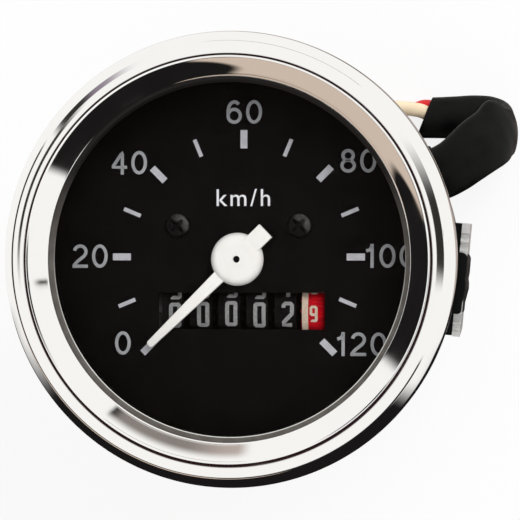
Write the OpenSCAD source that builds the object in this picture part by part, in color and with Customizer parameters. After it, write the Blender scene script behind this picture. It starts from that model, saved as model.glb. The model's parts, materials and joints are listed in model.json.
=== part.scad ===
// Magnetic drag speedometer with a six drum distance counter, for a 60 mm dash hole.
// Millimetres. The origin is the centre of the cable nozzle's open end, which is also the
// face that the instrument stands on. +Z runs up the pointer's axis and out of the dial,
// +Y points to the top of the dial and +X to its right.

/* [Bezel and glass] */
// Height of the face that rests on the panel
seat_z = 66; // [64:0.5:70]
// Widest diameter of the rolled chrome bezel
bezel_d = 66.8; // [66:0.1:68]
// Diameter of the bezel's bright rim
rim_d = 63.8; // [62:0.1:64]
// Sheet thickness of the bezel
bezel_t = 0.6; // [0.5:0.05:0.7]
// Diameter of the dial that shows inside the seal
sight_d = 51.8; // [50:0.1:52]
// Thickness of the glass
glass_t = 1.6; // [1.2:0.1:1.6]

/* [Case] */
// Outer diameter of the case barrel
case_d = 60; // [58:0.5:60]
// Wall of the drawn steel case
case_t = 0.8; // [0.6:0.1:1]
// Height of the case's flat back above the nozzle's end
back_z = 20; // [19:0.5:20]

/* [Dial and pointer] */
// Height of the dial's printed face
dial_z = 61.3; // [61:0.1:61.6]
// Length of the pointer from the axis to its tip
pointer_len = 18.6; // [15:0.1:19]
// Diameter of the pointer's hub
hub_d = 7.9; // [7:0.1:9]
// Direction of the resting pointer, counterclockwise from +X
pointer_rest = 224; // [215:1:230]
// Width of the counter's window in the dial
window_w = 25.2; // [24:0.1:25.6]
// Height of the counter's window in the dial
window_h = 5.5; // [5:0.1:6]

/* [Distance counter] */
// Outer diameter of a number drum
drum_d = 13.6; // [13:0.1:13.8]
// Width of a drum's printed rim
drum_w = 3.2; // [3:0.05:3.25]
// Distance from one drum to the next
drum_pitch = 4.27; // [4.25:0.01:4.35]

/* [Mounting] */
// Distance between the two mounting studs
stud_span = 38; // [36:1:40]
// Turn of the studs and the bracket about the axis, counterclockwise from +X
bracket_turn = -5.4; // [-8:0.2:8]
// Width of the bracket's strap
strap_w = 17; // [15:0.5:18]
// Thickness of the bracket's strap
strap_t = 1.2; // [1:0.1:1.5]
// Outward lean of the bracket's legs, in degrees
strap_lean = 3.7; // [3.4:0.1:4]
// Height of the bracket's feet
foot_z = 57; // [50:0.5:58]

/* [Hidden] */
$fn = 96;

// Bezel, glass and case
bezel_r = bezel_d / 2;
rim_r = rim_d / 2;
sight_r = sight_d / 2;
case_r = case_d / 2;
case_in = case_r - case_t;
hem_in = case_r + 0.6;
flange_r = case_r + 1.5;
flange_z = seat_z + bezel_t + 0.3;
rim_z = seat_z + 7.6;
crest_z = seat_z + 7.95;
crest_r = rim_r - 2.1;
lip_r = sight_r + 0.9;
lip_z = seat_z + 6.45;
glass_r = case_r - 1.4;
glass_z = flange_z + case_t + 2.1;
case_corner = 3;

// Dial
dial_t = 0.5;
dial_r = case_in - 0.3;
window_x = 0.4;
window_y = -7.75;
dial_screw_x = 9.2;
dial_screw_y = 5;

// Movement frame
base_z = back_z + case_t;
base_t = 2;
deck_z = 45.4;
deck_t = 1.4;
pillars = [[-15, 10], [-16.2, -12.5], [5, 19], [7, -19.5]];
pillar_r = 2.2;
cheek_t = 1.2;
cheek_left_x = -13.6;
cheek_right_x = 16;

// Counter
drum_r = drum_d / 2;
drum_y = -8;
drum_z = dial_z - dial_t - 0.4 - drum_r;
drum_shaft_r = 1.2;
first_drum_x = 0.5 - 2.5 * drum_pitch;
transfer_m = 0.55;
transfer_y = drum_y - 7.32;
transfer_z = drum_z - 2.7;
transfer_shaft_r = 0.6;
// Direction from a drum to its pinion, in the drum's own plane
mesh = atan2(transfer_y - drum_y, drum_z - transfer_z);

// Worm drive from the cable to the counter: three stages of 10 to 1, each a worm with two
// starts on a wheel with 20 teeth
wheel_teeth = 20;
wheel_w = 0.9;
small_m = 0.4;
large_m = 0.66;
drive_worm_r = 2.2;
cross_worm_r = 2;
upright_worm_r = 1.6;
worm_l = 6;
cross_y = drive_worm_r + small_m * wheel_teeth / 2;
cross_z = 29.8;
upright_x = 15.1;
upright_y = drum_y + upright_worm_r + small_m * wheel_teeth / 2;
thin_shaft_r = 0.8;
running = 0.06;

// Drag movement
spindle_r = 1.5;
magnet_r = 9.6;
magnet_z = 36.6;
magnet_top = 41.8;
cup_in = 10.2;
cup_t = 0.4;
cup_top = 43;
cup_low = 36.4;
field_in = 11.2;
field_r = 12;
field_z = 35;
field_top = 42.4;
pointer_shaft_r = 0.5;
spring_z = 44;
spring_h = 0.5;
spring_w = 0.16;
spring_in = 1.3;
spring_out = 5.2;
spring_turns = 4.5;

// Back of the case
nozzle_r = 6;
stud_r = 2.5;
strap_z = 17;
strap_x = 31.2;
strap_bend = 3;
bulb_x = 15.5;
bulb_y = 15.5;

// Route of the black sleeve, from the boot's mouth round its fold and back along the floor.
// Each row is a point, half the sleeve's width and half its thickness.
sleeve_route = [
    [[22.5, 14.2, 13.2], 4.6, 1.75], [[24.2, 14.0, 13.3], 4.7, 1.7],
    [[26.0, 14.3, 13.4], 4.8, 1.7], [[28.0, 15.5, 13.4], 5.0, 1.65],
    [[30.2, 17.1, 13.2], 5.1, 1.65], [[32.4, 18.6, 12.7], 5.1, 1.65],
    [[34.4, 19.8, 11.6], 4.95, 1.7], [[35.7, 20.6, 10.2], 4.6, 1.75],
    [[36.5, 21.0, 8.6], 4.2, 1.8], [[36.7, 21.4, 6.8], 3.9, 1.8],
    [[36.2, 21.9, 5.0], 3.95, 1.8], [[34.9, 22.6, 3.5], 4.1, 1.8],
    [[33.0, 23.2, 2.5], 4.15, 1.8], [[30.6, 23.6, 2.1], 3.9, 1.85],
    [[27.8, 23.7, 2.0], 3.65, 1.9], [[25.2, 23.7, 2.0], 3.55, 1.9],
    [[22.3, 23.7, 2.1], 3.5, 2.0]
];
// Direction of the sleeve's width at each point of the route, counterclockwise from +X
sleeve_turn = [82, 88, 100, 114, 119, 117, 110, 104, 100, 97, 95, 94, 93, 92, 91, 90, 90];

// Routes of the two wires, from the sleeve's end round the nozzle to their terminals
wire_red_r = 0.9;
wire_red_route = [
    [22.1, 26.4, 1.3], [20.9, 26.2, 1.0], [19.2, 25.4, 0.9], [17.2, 24.4, 0.9],
    [14.6, 23.0, 0.9], [11.3, 21.3, 0.9], [7.6, 19.2, 0.9], [3.4, 16.6, 0.9],
    [-1.0, 14.0, 0.9], [-5.2, 11.0, 0.9], [-8.6, 7.7, 0.9], [-10.8, 3.9, 0.9],
    [-11.5, -0.2, 0.9], [-10.7, -4.3, 0.9], [-8.4, -7.9, 0.9], [-5.0, -10.4, 0.9],
    [-1.0, -11.5, 0.9], [3.2, -11.1, 0.9], [6.9, -9.2, 0.9], [9.7, -6.2, 1.2],
    [11.3, -2.4, 1.8], [11.8, -0.6, 2.0]
];
wire_cream_r = 1.2;
wire_cream_route = [
    [22.1, 24.8, 2.7], [20.7, 25.1, 3.1], [19.0, 25.3, 3.2], [17.0, 25.4, 3.1],
    [14.6, 25.2, 2.6], [11.9, 24.5, 1.8], [8.8, 23.2, 1.3], [5.0, 21.2, 1.2],
    [1.0, 18.7, 1.2], [-3.4, 15.7, 1.2], [-7.8, 12.2, 1.2], [-11.5, 8.0, 1.2],
    [-13.6, 3.2, 1.2], [-14.0, -1.8, 1.2], [-12.7, -6.6, 1.2], [-9.9, -10.6, 1.2],
    [-5.8, -13.4, 1.2], [-1.2, -14.6, 1.5], [2.2, -14.8, 1.9], [4.0, -14.7, 2.0]
];
terminal_r = 2;
terminal_l = 13;

// Points of an arc with its centre at c, from angle a to angle b
function arc(c, r, a, b, n) = [
    for (i = [0:n]) c + r * [cos(a + (b - a) * i / n), sin(a + (b - a) * i / n)]
];

// Outline of a wheel with straight flanked teeth, one of them on +X. body is the share of
// the tooth pitch that a tooth fills at the pitch circle.
function teeth(n, m, body = 0.38, reach = 0.95, root = 1.15) = [
    for (i = [0:n - 1], j = [0:3])
        let (pitch_r = n * m / 2, full = 180 / n * body, tip = full * 0.55, foot = full * 1.35)
        let (r = j == 1 || j == 2 ? pitch_r + reach * m : pitch_r - root * m)
        let (half = j == 0 || j == 3 ? foot : tip)
        let (a = 360 * i / n + (j < 2 ? -half : half))
        r * [cos(a), sin(a)]
];

// One thread of a worm's cross section: angles, and heights over the pitch line in modules
thread = [
    [-33, -0.55], [-13, 0.8], [13, 0.8], [33, -0.55], [61, -1.05], [90, -1.1], [119, -1.05]
];

// Unit vector, and the frame of a swept tube: forward, across and up at point i
function unit(v) = v / norm(v);
function along(p, i) = unit(p[min(i + 1, len(p) - 1)] - p[max(i - 1, 0)]);
function square_to(v, d) = unit(v - (v * d) * d);

// Ring of a swept tube: a flat oval with its width along w and its thickness along u
function ring(c, w, u, half_w, half_t, sides) = [
    for (k = [0:sides - 1])
        let (a = 360 * (k + 0.5) / sides)
        c + half_w * cos(a) * w + half_t * sin(a) * u
];

// Closed tube through a list of rings
module skin(rings) {
    n = len(rings[0]);
    last = len(rings) - 1;
    polyhedron(
        points = [for (r = rings, p = r) p],
        faces = concat(
            [[for (k = [0:n - 1]) k]],
            [[for (k = [n - 1:-1:0]) last * n + k]],
            [for (i = [0:last - 1], k = [0:n - 1]) [
                i * n + k, (i + 1) * n + k, i * n + (k + 1) % n
            ]],
            [for (i = [0:last - 1], k = [0:n - 1]) [
                i * n + (k + 1) % n, (i + 1) * n + k, (i + 1) * n + (k + 1) % n
            ]]
        )
    );
}

// Round wire along a route
module wire(route, r) {
    skin([
        for (i = [0:len(route) - 1])
            let (d = along(route, i), w = square_to([0, 0, 1], d))
            ring(route[i], w, cross(d, w), r, r, 8)
    ]);
}

// Shape with its local Z laid along +X, its local X pointing down
module along_x(x, y, z) {
    translate([x, y, z]) rotate([0, 90, 0]) children();
}

// Places of the two studs
module at_studs() {
    for (a = [bracket_turn, bracket_turn + 180])
        rotate(a) translate([stud_span / 2, 0, 0]) children();
}

// Worm with two starts, centred on the origin, its threads on +X and -X at mid length.
// It is right handed, or left handed with hand = -1.
module worm(r, m, bore, hand = 1) {
    turn = 360 * worm_l / (2 * PI * m);
    n = ceil(turn / 20);
    difference() {
        skin([
            for (i = [0:n]) [
                for (s = [0, 180], p = thread)
                    let (a = s + p[0] + hand * turn * (i / n - 0.5))
                    [(r + p[1] * m) * cos(a), (r + p[1] * m) * sin(a), worm_l * (i / n - 0.5)]
            ]
        ]);
        translate([0, 0, -worm_l]) cylinder(r = bore, h = 2 * worm_l);
    }
}

// Worm wheel with its hub, centred on the origin, one tooth on +X
module worm_wheel(m, bore, hub_r, hub_l) {
    difference() {
        union() {
            translate([0, 0, -wheel_w / 2]) linear_extrude(wheel_w)
                polygon(teeth(wheel_teeth, m, 0.36, 0.9));
            translate([0, 0, -hub_l / 2]) cylinder(r = hub_r, h = hub_l);
        }
        cylinder(r = bore, h = 2 * hub_l, center = true);
    }
}

// Rolled chrome bezel: hem, barrel, bright rim, and the funnel down to the glass
module bezel_ring() {
    belly = [bezel_r - 8, seat_z + 4.4];
    outside = concat(
        [[hem_in, seat_z], [bezel_r - 1.4, seat_z]],
        arc([bezel_r - 1.4, seat_z + 1], 1, -90, -20, 4),
        arc(belly, 8, -18, 12, 8),
        arc([rim_r - 0.55, rim_z - 0.6], 0.6, 30, 78, 4),
        arc([crest_r, crest_z - 1], 1, 78, 118, 6),
        arc([lip_r - 8.29, lip_z + 18.2], 20, -57.25, -65.5, 5)
    );
    inside = concat(
        [[lip_r + 0.1, lip_z - bezel_t], [lip_r + 0.6, lip_z - bezel_t]],
        [[crest_r - 0.4, crest_z - 0.95], [rim_r - 0.7, rim_z - 0.65]],
        arc(belly, 8 - bezel_t, 12, -18, 8),
        [[bezel_r - 1.2, seat_z + bezel_t], [hem_in, seat_z + bezel_t]]
    );
    color([0.86, 0.86, 0.87]) rotate_extrude() polygon(concat(outside, inside));
}

module lens_glass() {
    color([0.85, 0.9, 0.9, 0.35]) translate([0, 0, glass_z]) cylinder(r = glass_r, h = glass_t);
}

// Rubber channel round the edge of the glass. Its upper lip is the ring seen in the funnel.
module lens_gasket() {
    low = flange_z + case_t;
    top = glass_z + glass_t;
    color([0.3, 0.27, 0.25]) rotate_extrude() polygon([
        [case_in - 0.8, low], [case_r + 0.5, low], [case_r + 0.5, top + 0.35],
        [sight_r, top + 0.35], [sight_r, top], [glass_r, top], [glass_r, glass_z],
        [case_in - 0.8, glass_z]
    ]);
}

// Deep drawn case with an outward flange, and holes for the nozzle, studs and bulb holder
module case_shell() {
    flat_r = case_r - case_corner;
    outside = concat(
        [[0, back_z], [flat_r, back_z]],
        arc([flat_r, back_z + case_corner], case_corner, -90, 0, 8),
        [[case_r, flange_z], [flange_r, flange_z], [flange_r, flange_z + case_t]]
    );
    inside = concat(
        [[case_in, flange_z + case_t]],
        arc([flat_r, back_z + case_corner], case_corner - case_t, 0, -90, 8),
        [[0, base_z]]
    );
    color([0.1, 0.1, 0.11]) difference() {
        rotate_extrude() polygon(concat(outside, inside));
        translate([0, 0, back_z - 1]) cylinder(r = 5, h = 4);
        translate([bulb_x, bulb_y, back_z - 1]) cylinder(r = 4.8, h = 4);
        at_studs() translate([0, 0, back_z - 1]) cylinder(r = 2, h = 4);
    }
}

module dial_plate() {
    color([0.07, 0.07, 0.075]) translate([0, 0, dial_z - dial_t]) linear_extrude(dial_t)
        difference() {
            circle(dial_r);
            circle(1.6);
            translate([window_x, window_y]) square([window_w, window_h], center = true);
            for (x = [-dial_screw_x, dial_screw_x]) translate([x, dial_screw_y]) circle(1.1);
        }
}

// Pan head screw with a cross recess, standing on the origin
module pan_screw(head_r, head_h, r, l) {
    difference() {
        union() {
            rotate_extrude() polygon(concat(
                [[0, 0], [head_r, 0], [head_r, head_h * 0.45]],
                arc([head_r - 0.5, head_h * 0.45], 0.5, 0, 90, 4),
                [[0, head_h * 0.45 + 0.5]]
            ));
            translate([0, 0, -l]) cylinder(r = r, h = l + 0.1);
        }
        for (a = [45, 135])
            rotate(a) translate([-head_r * 0.62, -0.22, head_h * 0.25])
                cube([head_r * 1.24, 0.44, head_h * 2]);
    }
}

module dial_screws() {
    color([0.12, 0.12, 0.12])
        for (x = [-dial_screw_x, dial_screw_x])
            translate([x, dial_screw_y, dial_z]) pan_screw(1.85, 0.85, 1, 5);
}

// Die cast base with four pillars and the three pedestals of the cross shaft
module movement_base() {
    color([0.62, 0.62, 0.6]) difference() {
        union() {
            translate([0, 0, base_z]) cylinder(r = 26, h = base_t);
            for (p = pillars)
                translate([p[0], p[1], base_z]) cylinder(r = pillar_r, h = deck_z - base_z);
            for (x = [-5.5, 8.5, 21]) translate([x - 0.8, cross_y - 2, base_z]) {
                cube([1.6, 4, cross_z - base_z]);
                translate([0, 2, cross_z - base_z]) rotate([0, 90, 0]) cylinder(r = 2, h = 1.6);
            }
            translate([upright_x, upright_y, base_z]) cylinder(r = 2.2, h = 4.5);
        }
        translate([0, 0, base_z - 1]) cylinder(r = 5, h = 4);
        translate([bulb_x, bulb_y, base_z - 1]) cylinder(r = 5.2, h = 4);
        along_x(-10, cross_y, cross_z) cylinder(r = thin_shaft_r + running, h = 40);
        translate([upright_x, upright_y, base_z + 1])
            cylinder(r = thin_shaft_r + running, h = 10);
        at_studs() translate([0, 0, base_z - 1]) cylinder(r = 2, h = 4);
        for (p = pillars) translate([p[0], p[1], deck_z - 6]) cylinder(r = 1.05, h = 7);
    }
}

// Deck plate under the counter, with the posts that carry the dial
module movement_top() {
    color([0.66, 0.66, 0.64]) difference() {
        union() {
            translate([0, 0, deck_z]) linear_extrude(deck_t) intersection() {
                circle(24);
                translate([-18.5, -22]) square([39.5, 44]);
            }
            for (x = [-dial_screw_x, dial_screw_x]) translate([x, dial_screw_y, deck_z])
                cylinder(r = 2.1, h = dial_z - dial_t - deck_z);
        }
        translate([bulb_x, bulb_y, deck_z - 1]) cylinder(r = 6.5, h = 4);
        translate([-12.3, drum_y - 5, deck_z + 0.6]) cube([25.6, 10, 2]);
        translate([0, 0, deck_z - 1]) cylinder(r = 1.8, h = 4);
        translate([upright_x, upright_y, deck_z - 1])
            cylinder(r = thin_shaft_r + running, h = 4);
        for (x = [-dial_screw_x, dial_screw_x])
            translate([x, dial_screw_y, dial_z - 7]) cylinder(r = 1.05, h = 8);
        for (p = pillars) translate([p[0], p[1], deck_z - 1]) cylinder(r = 1.2, h = 4);
    }
}

module movement_screws() {
    color([0.75, 0.72, 0.6])
        for (p = pillars)
            translate([p[0], p[1], deck_z + deck_t]) pan_screw(2, 1.2, 1, 6);
}

// Cheek that holds the ends of the counter's two shafts, from x to x + cheek_t
module cheek(x) {
    difference() {
        union() {
            along_x(x, drum_y, drum_z) cylinder(r = 3, h = cheek_t);
            along_x(x, transfer_y, transfer_z) cylinder(r = 2, h = cheek_t);
            translate([x, drum_y - 3, deck_z + deck_t])
                cube([cheek_t, 6, drum_z - deck_z - deck_t]);
            translate([x, transfer_y - 2, deck_z + deck_t])
                cube([cheek_t, 6, transfer_z - deck_z - deck_t]);
            translate([x, transfer_y, deck_z + deck_t])
                cube([cheek_t, 6, transfer_z - deck_z - deck_t + 1]);
        }
        along_x(x - 1, drum_y, drum_z) cylinder(r = drum_shaft_r, h = 4);
        along_x(x - 1, transfer_y, transfer_z) cylinder(r = transfer_shaft_r, h = 4);
    }
}

module counter_cheek_left() {
    color([0.72, 0.7, 0.66]) cheek(cheek_left_x);
}

// The right cheek also reaches over the upright shaft and holds its top
module counter_cheek_right() {
    arm_z = drum_z + 4.2;
    color([0.72, 0.7, 0.66]) {
        cheek(cheek_right_x);
        difference() {
            union() {
                translate([cheek_right_x, drum_y - 1.5, drum_z + 2])
                    cube([cheek_t, 3, arm_z - drum_z - 2 + 1.2]);
                translate([cheek_right_x, drum_y - 1.5, arm_z])
                    cube([cheek_t, upright_y - drum_y + 1.5, 1.2]);
                translate([upright_x, upright_y - 1.8, arm_z])
                    cube([cheek_right_x - upright_x + cheek_t, 3.6, 1.2]);
                translate([upright_x, upright_y, arm_z]) cylinder(r = 1.8, h = 1.2);
            }
            translate([upright_x, upright_y, arm_z - 1])
                cylinder(r = thin_shaft_r + running, h = 4);
        }
    }
}

module counter_shaft() {
    color([0.75, 0.75, 0.76])
        along_x(cheek_left_x - 0.5, drum_y, drum_z)
            cylinder(r = drum_shaft_r, h = cheek_right_x - cheek_left_x + cheek_t + 1);
}

module transfer_shaft() {
    color([0.75, 0.75, 0.76])
        along_x(cheek_left_x - 0.3, transfer_y, transfer_z)
            cylinder(r = transfer_shaft_r, h = cheek_right_x - cheek_left_x + cheek_t + 0.6);
}

module spindle_bush() {
    color([0.78, 0.62, 0.3]) difference() {
        translate([0, 0, deck_z - 0.4]) union() {
            cylinder(r = 1.8, h = deck_t + 0.4);
            translate([0, 0, deck_t + 0.4]) cylinder(r = 2.4, h = 0.5);
        }
        translate([0, 0, deck_z - 1]) cylinder(r = pointer_shaft_r + running, h = 4);
    }
}

module drive_bush() {
    color([0.7, 0.5, 0.28]) difference() {
        translate([0, 0, 14.4]) cylinder(r = 2.6, h = base_z + base_t - 14.4);
        translate([0, 0, 14]) cylinder(r = spindle_r + running, h = 12);
    }
}

// Turned nozzle that the cable's union nut screws on, riveted through the back and base
module cable_nozzle() {
    color([0.72, 0.72, 0.7]) rotate_extrude() polygon([
        [4.2, 0], [nozzle_r, 0], [nozzle_r, 12], [5.4, 12.4], [5.4, 13.4], [7, 13.8],
        [7, 18.2], [8.2, 18.2], [8.2, back_z], [5, back_z], [5, base_z + base_t],
        [2.6, base_z + base_t], [2.6, 14.4], [3.2, 14.4], [3.2, 7], [4.2, 7]
    ]);
}

module mounting_studs() {
    color([0.78, 0.78, 0.76]) at_studs() {
        cylinder(r = stud_r, h = strap_z + strap_t);
        translate([0, 0, strap_z + strap_t]) cylinder(r = 4.2, h = back_z - strap_z - strap_t);
        translate([0, 0, back_z]) cylinder(r = 2, h = base_z + base_t - back_z);
    }
}

// Outer face of a leaning leg at height z
function leg_x(z) = strap_x - strap_bend + strap_bend * cos(strap_lean)
    + (z - strap_z - strap_bend + strap_bend * sin(strap_lean)) * tan(strap_lean);

// Half of the U strap seen from its edge: back, bend and leaning leg
module strap_half() {
    mid = [strap_x - strap_bend, strap_z + strap_bend];
    polygon(concat(
        [[0, strap_z]],
        arc(mid, strap_bend, -90, -strap_lean, 8),
        [[leg_x(foot_z), foot_z], [leg_x(foot_z) - strap_t / cos(strap_lean), foot_z]],
        arc(mid, strap_bend - strap_t, -strap_lean, -90, 8),
        [[0, strap_z + strap_t]]
    ));
}

// Flat shape in X and Z, made into a plate of width w across Y
module across_y(w) {
    translate([0, w / 2, 0]) rotate([90, 0, 0]) linear_extrude(w) children();
}

// Zinc plated U bracket. The notched ends of its legs bite on the panel.
module mounting_bracket() {
    color([0.8, 0.8, 0.78]) rotate(bracket_turn) difference() {
        union() {
            across_y(strap_w) {
                strap_half();
                mirror([1, 0]) strap_half();
            }
            translate([0, 0, strap_z]) cylinder(r = 13, h = strap_t);
        }
        translate([0, 0, strap_z - 1]) cylinder(r = 8.7, h = 4);
        for (x = [-stud_span / 2, stud_span / 2])
            translate([x, 0, strap_z - 1]) cylinder(r = stud_r + 0.3, h = 4);
        for (s = [-1, 1], y = [-7.2, -5.8, 5, 6.4])
            translate([s * leg_x(foot_z), y, foot_z])
                rotate([45, 0, 0]) cube([8, 0.8, 0.8], center = true);
    }
}

// Rubber buffers: a lining between each leg and the case, with a cap over the middle of the
// foot. The cap narrows towards one end, where it is pulled tight.
module bracket_pad() {
    low = foot_z - 12;
    high = foot_z - 0.5;
    slim = strap_t / cos(strap_lean);
    inner_x = case_r + 0.35;
    across_y(strap_w - 0.1) polygon([
        [inner_x, low], [leg_x(low) - slim, low], [leg_x(high) - slim, high], [inner_x, high]
    ]);
    difference() {
        intersection() {
            translate([0, 0, foot_z - 6.5]) linear_extrude(7.3) polygon(concat(
                arc([33.2, 3.1], 1, 90, 5, 5),
                [[34.2, 1.2], [34.12, 0.2], [34.25, -0.5], [34.3, -1.3], [34.1, -2.4],
                 [33.9, -3.4]],
                arc([33.3, -4.5], 0.6, 0, -90, 4),
                [[30, -5.1], [30, 4.1]]
            ));
            translate([inner_x, -10, foot_z - 8]) cube([10, 20, 12]);
        }
        across_y(30) polygon([
            [leg_x(40) - slim, 40], [leg_x(40), 40], [leg_x(foot_z), foot_z],
            [leg_x(foot_z) - slim, foot_z]
        ]);
    }
}

module bracket_pads() {
    color([0.06, 0.06, 0.06]) for (a = [0, 180]) rotate(bracket_turn + a) bracket_pad();
}

module stud_washers() {
    color([0.82, 0.82, 0.8]) at_studs() translate([0, 0, strap_z - 1]) difference() {
        cylinder(r = 5, h = 1);
        translate([0, 0, -1]) cylinder(r = stud_r + 0.2, h = 3);
    }
}

module stud_nuts() {
    color([0.82, 0.82, 0.8]) at_studs() translate([0, 0, strap_z - 5]) difference() {
        intersection() {
            cylinder(r = 8 / sqrt(3), h = 4, $fn = 6);
            rotate_extrude() polygon([[0, 0], [4, 0], [4.7, 0.5], [4.7, 4], [0, 4]]);
        }
        translate([0, 0, -1]) cylinder(r = stud_r, h = 6);
    }
}

// Bulb holder pushed into the back: a sprung tube with a stop collar
module bulb_holder() {
    color([0.75, 0.73, 0.65]) translate([bulb_x, bulb_y, 0]) rotate_extrude() polygon([
        [0, 18.6], [6, 18.6], [6, back_z], [4.8, back_z], [4.8, 34], [4.5, 34],
        [4.5, 24.5], [0, 24.5]
    ]);
}

module bulb_cap() {
    color([0.8, 0.76, 0.6]) translate([bulb_x, bulb_y, 0]) rotate_extrude() polygon([
        [0, 24.9], [1.6, 24.9], [2.2, 25.6], [4.3, 25.9], [4.45, 26.4], [4.45, 35.4],
        [3.6, 36], [0, 36]
    ]);
}

module bulb_glass() {
    color([0.95, 0.93, 0.85, 0.5]) translate([bulb_x, bulb_y, 0]) rotate_extrude()
        polygon(concat([[0, 36], [3.3, 36]], arc([0, 43.6], 4.3, -30, 90, 12)));
}

// Rubber boot on the bulb holder, which turns the lead out flat under the case
module lead_boot() {
    start = sleeve_route[0][0];
    color([0.07, 0.07, 0.07]) {
        translate([bulb_x, bulb_y, 10.6]) cylinder(r = 6.2, h = 8);
        hull() {
            translate([bulb_x, bulb_y, 10.8]) cylinder(r = 5.2, h = 5.6, $fn = 32);
            translate(start) rotate(sleeve_turn[0] - 90)
                translate([-0.4, 0, 0]) rotate([90, 0, 90])
                    linear_extrude(0.4) scale([1, 0.5]) circle(5.4, $fn = 32);
        }
    }
}

// Black sleeve pressed flat by its fold
module lead_sleeve() {
    path = [for (s = sleeve_route) s[0]];
    color([0.05, 0.05, 0.05]) skin([
        for (i = [0:len(path) - 1])
            let (d = along(path, i), a = sleeve_turn[i])
            let (w = square_to([cos(a), sin(a), 0], d))
            ring(path[i], w, cross(d, w), sleeve_route[i][1], sleeve_route[i][2], 10)
    ]);
}

module wire_red() {
    color([0.85, 0.05, 0.08]) wire(wire_red_route, wire_red_r);
}

module wire_cream() {
    color([0.93, 0.87, 0.7]) wire(wire_cream_route, wire_cream_r);
}

// Sleeved bullet terminal that goes on from the end of a wire
module terminal(route) {
    n = len(route);
    d = route[n - 1] - route[n - 2];
    translate(route[n - 1]) rotate([0, 90, atan2(d[1], d[0])]) rotate_extrude() polygon([
        [0, 0], [1.3, 0], [terminal_r, 0.8], [terminal_r, 8.6], [1.5, 8.8], [1.5, 9.6],
        [1.9, 9.9], [1.9, 11.6], [1.1, terminal_l], [0, terminal_l]
    ]);
}

module terminal_red() {
    color([0.8, 0.1, 0.1]) terminal(wire_red_route);
}

module terminal_cream() {
    color([0.85, 0.8, 0.6]) terminal(wire_cream_route);
}

// Post under the deck that holds the outer end of the hairspring
module spring_stud() {
    color([0.78, 0.62, 0.3]) translate([spring_out + spring_w / 2 + 0.6, 0, deck_z - 1.8])
        cylinder(r = 0.6, h = 1.8);
}

// Pointer: hub, tapered arm and square tail, drawn along +X and turned to its rest
module pointer() {
    hub_r = hub_d / 2;
    low = dial_z + 0.5;
    color([0.95, 0.94, 0.9]) rotate(pointer_rest) difference() {
        union() {
            rotate_extrude() polygon(concat(
                [[0, low], [hub_r - 0.5, low], [hub_r, low + 0.4]],
                arc([hub_r - 0.5, low + 1.3], 0.5, 0, 90, 5),
                [[0, low + 1.8]]
            ));
            translate([0, 0, low + 0.7]) linear_extrude(0.8) {
                polygon([
                    [0, 1.05], [pointer_len - 0.3, 0.57], [pointer_len, 0.3],
                    [pointer_len, -0.3], [pointer_len - 0.3, -0.57], [0, -1.05]
                ]);
                translate([-6.1, -1.35]) square([6.1, 2.7]);
            }
        }
        translate([0, 0, low - 1]) cylinder(r = pointer_shaft_r, h = 4);
    }
}

module pointer_spindle() {
    color([0.8, 0.8, 0.82]) rotate_extrude() polygon([
        [0, 40.5], [0.2, 40.5], [pointer_shaft_r, 40.9], [pointer_shaft_r, dial_z + 1.7],
        [0, dial_z + 1.9]
    ]);
}

// Aluminium drag cup that the magnet pulls round
module drag_cup() {
    color([0.83, 0.84, 0.86]) rotate_extrude() polygon([
        [pointer_shaft_r, 42.2], [1.6, 42.2], [1.6, cup_top - cup_t],
        [cup_in, cup_top - cup_t], [cup_in, cup_low], [cup_in + cup_t, cup_low],
        [cup_in + cup_t, cup_top], [1.6, cup_top], [1.6, cup_top + 0.4],
        [pointer_shaft_r, cup_top + 0.4]
    ]);
}

module spring_collet() {
    color([0.78, 0.62, 0.3]) translate([0, 0, spring_z - 0.3]) difference() {
        cylinder(r = spring_in - spring_w / 2 - 0.04, h = spring_h + 0.5);
        translate([0, 0, -1]) cylinder(r = pointer_shaft_r, h = 4);
    }
}

// Radius of the hairspring's middle line after t turns
function spring_r(t) = spring_in + (spring_out - spring_in) * t / spring_turns;
function spring_side(t, off) = (spring_r(t) + off)
    * [cos(360 * (t - spring_turns)), sin(360 * (t - spring_turns))];

// Hairspring: one flat strip wound in a spiral of even pitch
module hairspring() {
    step = 1 / 20;
    outer = [for (t = [0:step:spring_turns]) spring_side(t, spring_w / 2)];
    inner = [for (t = [spring_turns:-step:0]) spring_side(t, -spring_w / 2)];
    gaps = [
        for (t = [0:step:spring_turns - 1])
            norm(spring_side(t + 1, -spring_w / 2) - spring_side(t, spring_w / 2))
    ];
    echo(least_gap_between_hairspring_turns = min(gaps));
    color([0.6, 0.62, 0.7]) translate([0, 0, spring_z]) linear_extrude(spring_h)
        polygon(concat(outer, inner));
}

// Drive spindle with the cable's square socket below and the magnet's seat on top
module drive_spindle() {
    color([0.75, 0.75, 0.77]) difference() {
        rotate_extrude() polygon([
            [0, 7.6], [2.6, 7.6], [2.9, 7.9], [2.9, 13.8], [spindle_r, 14.1],
            [spindle_r, field_z + 0.8], [2.5, field_z + 0.8], [2.5, magnet_top], [0, magnet_top]
        ]);
        translate([-1.35, -1.35, 7]) cube([2.7, 2.7, 6.2]);
        translate([0, 0, 40.2]) cylinder(r = pointer_shaft_r + running, h = 4);
    }
}

module magnet() {
    color([0.2, 0.2, 0.22]) difference() {
        translate([0, 0, magnet_z]) cylinder(r = magnet_r, h = magnet_top - magnet_z);
        translate([0, 0, magnet_z - 1]) cylinder(r = 2.5, h = 10);
        for (a = [0:60:300]) rotate(a) translate([magnet_r, 0, magnet_z - 1])
            cylinder(r = 0.8, h = 10);
    }
}

module field_cup() {
    color([0.66, 0.64, 0.58]) rotate_extrude() polygon([
        [spindle_r, field_z], [field_r, field_z], [field_r, field_top], [field_in, field_top],
        [field_in, field_z + 0.8], [spindle_r, field_z + 0.8]
    ]);
}

module drive_worm() {
    color([0.8, 0.66, 0.34]) translate([0, 0, cross_z])
        worm(drive_worm_r, small_m, spindle_r, -1);
}

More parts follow.
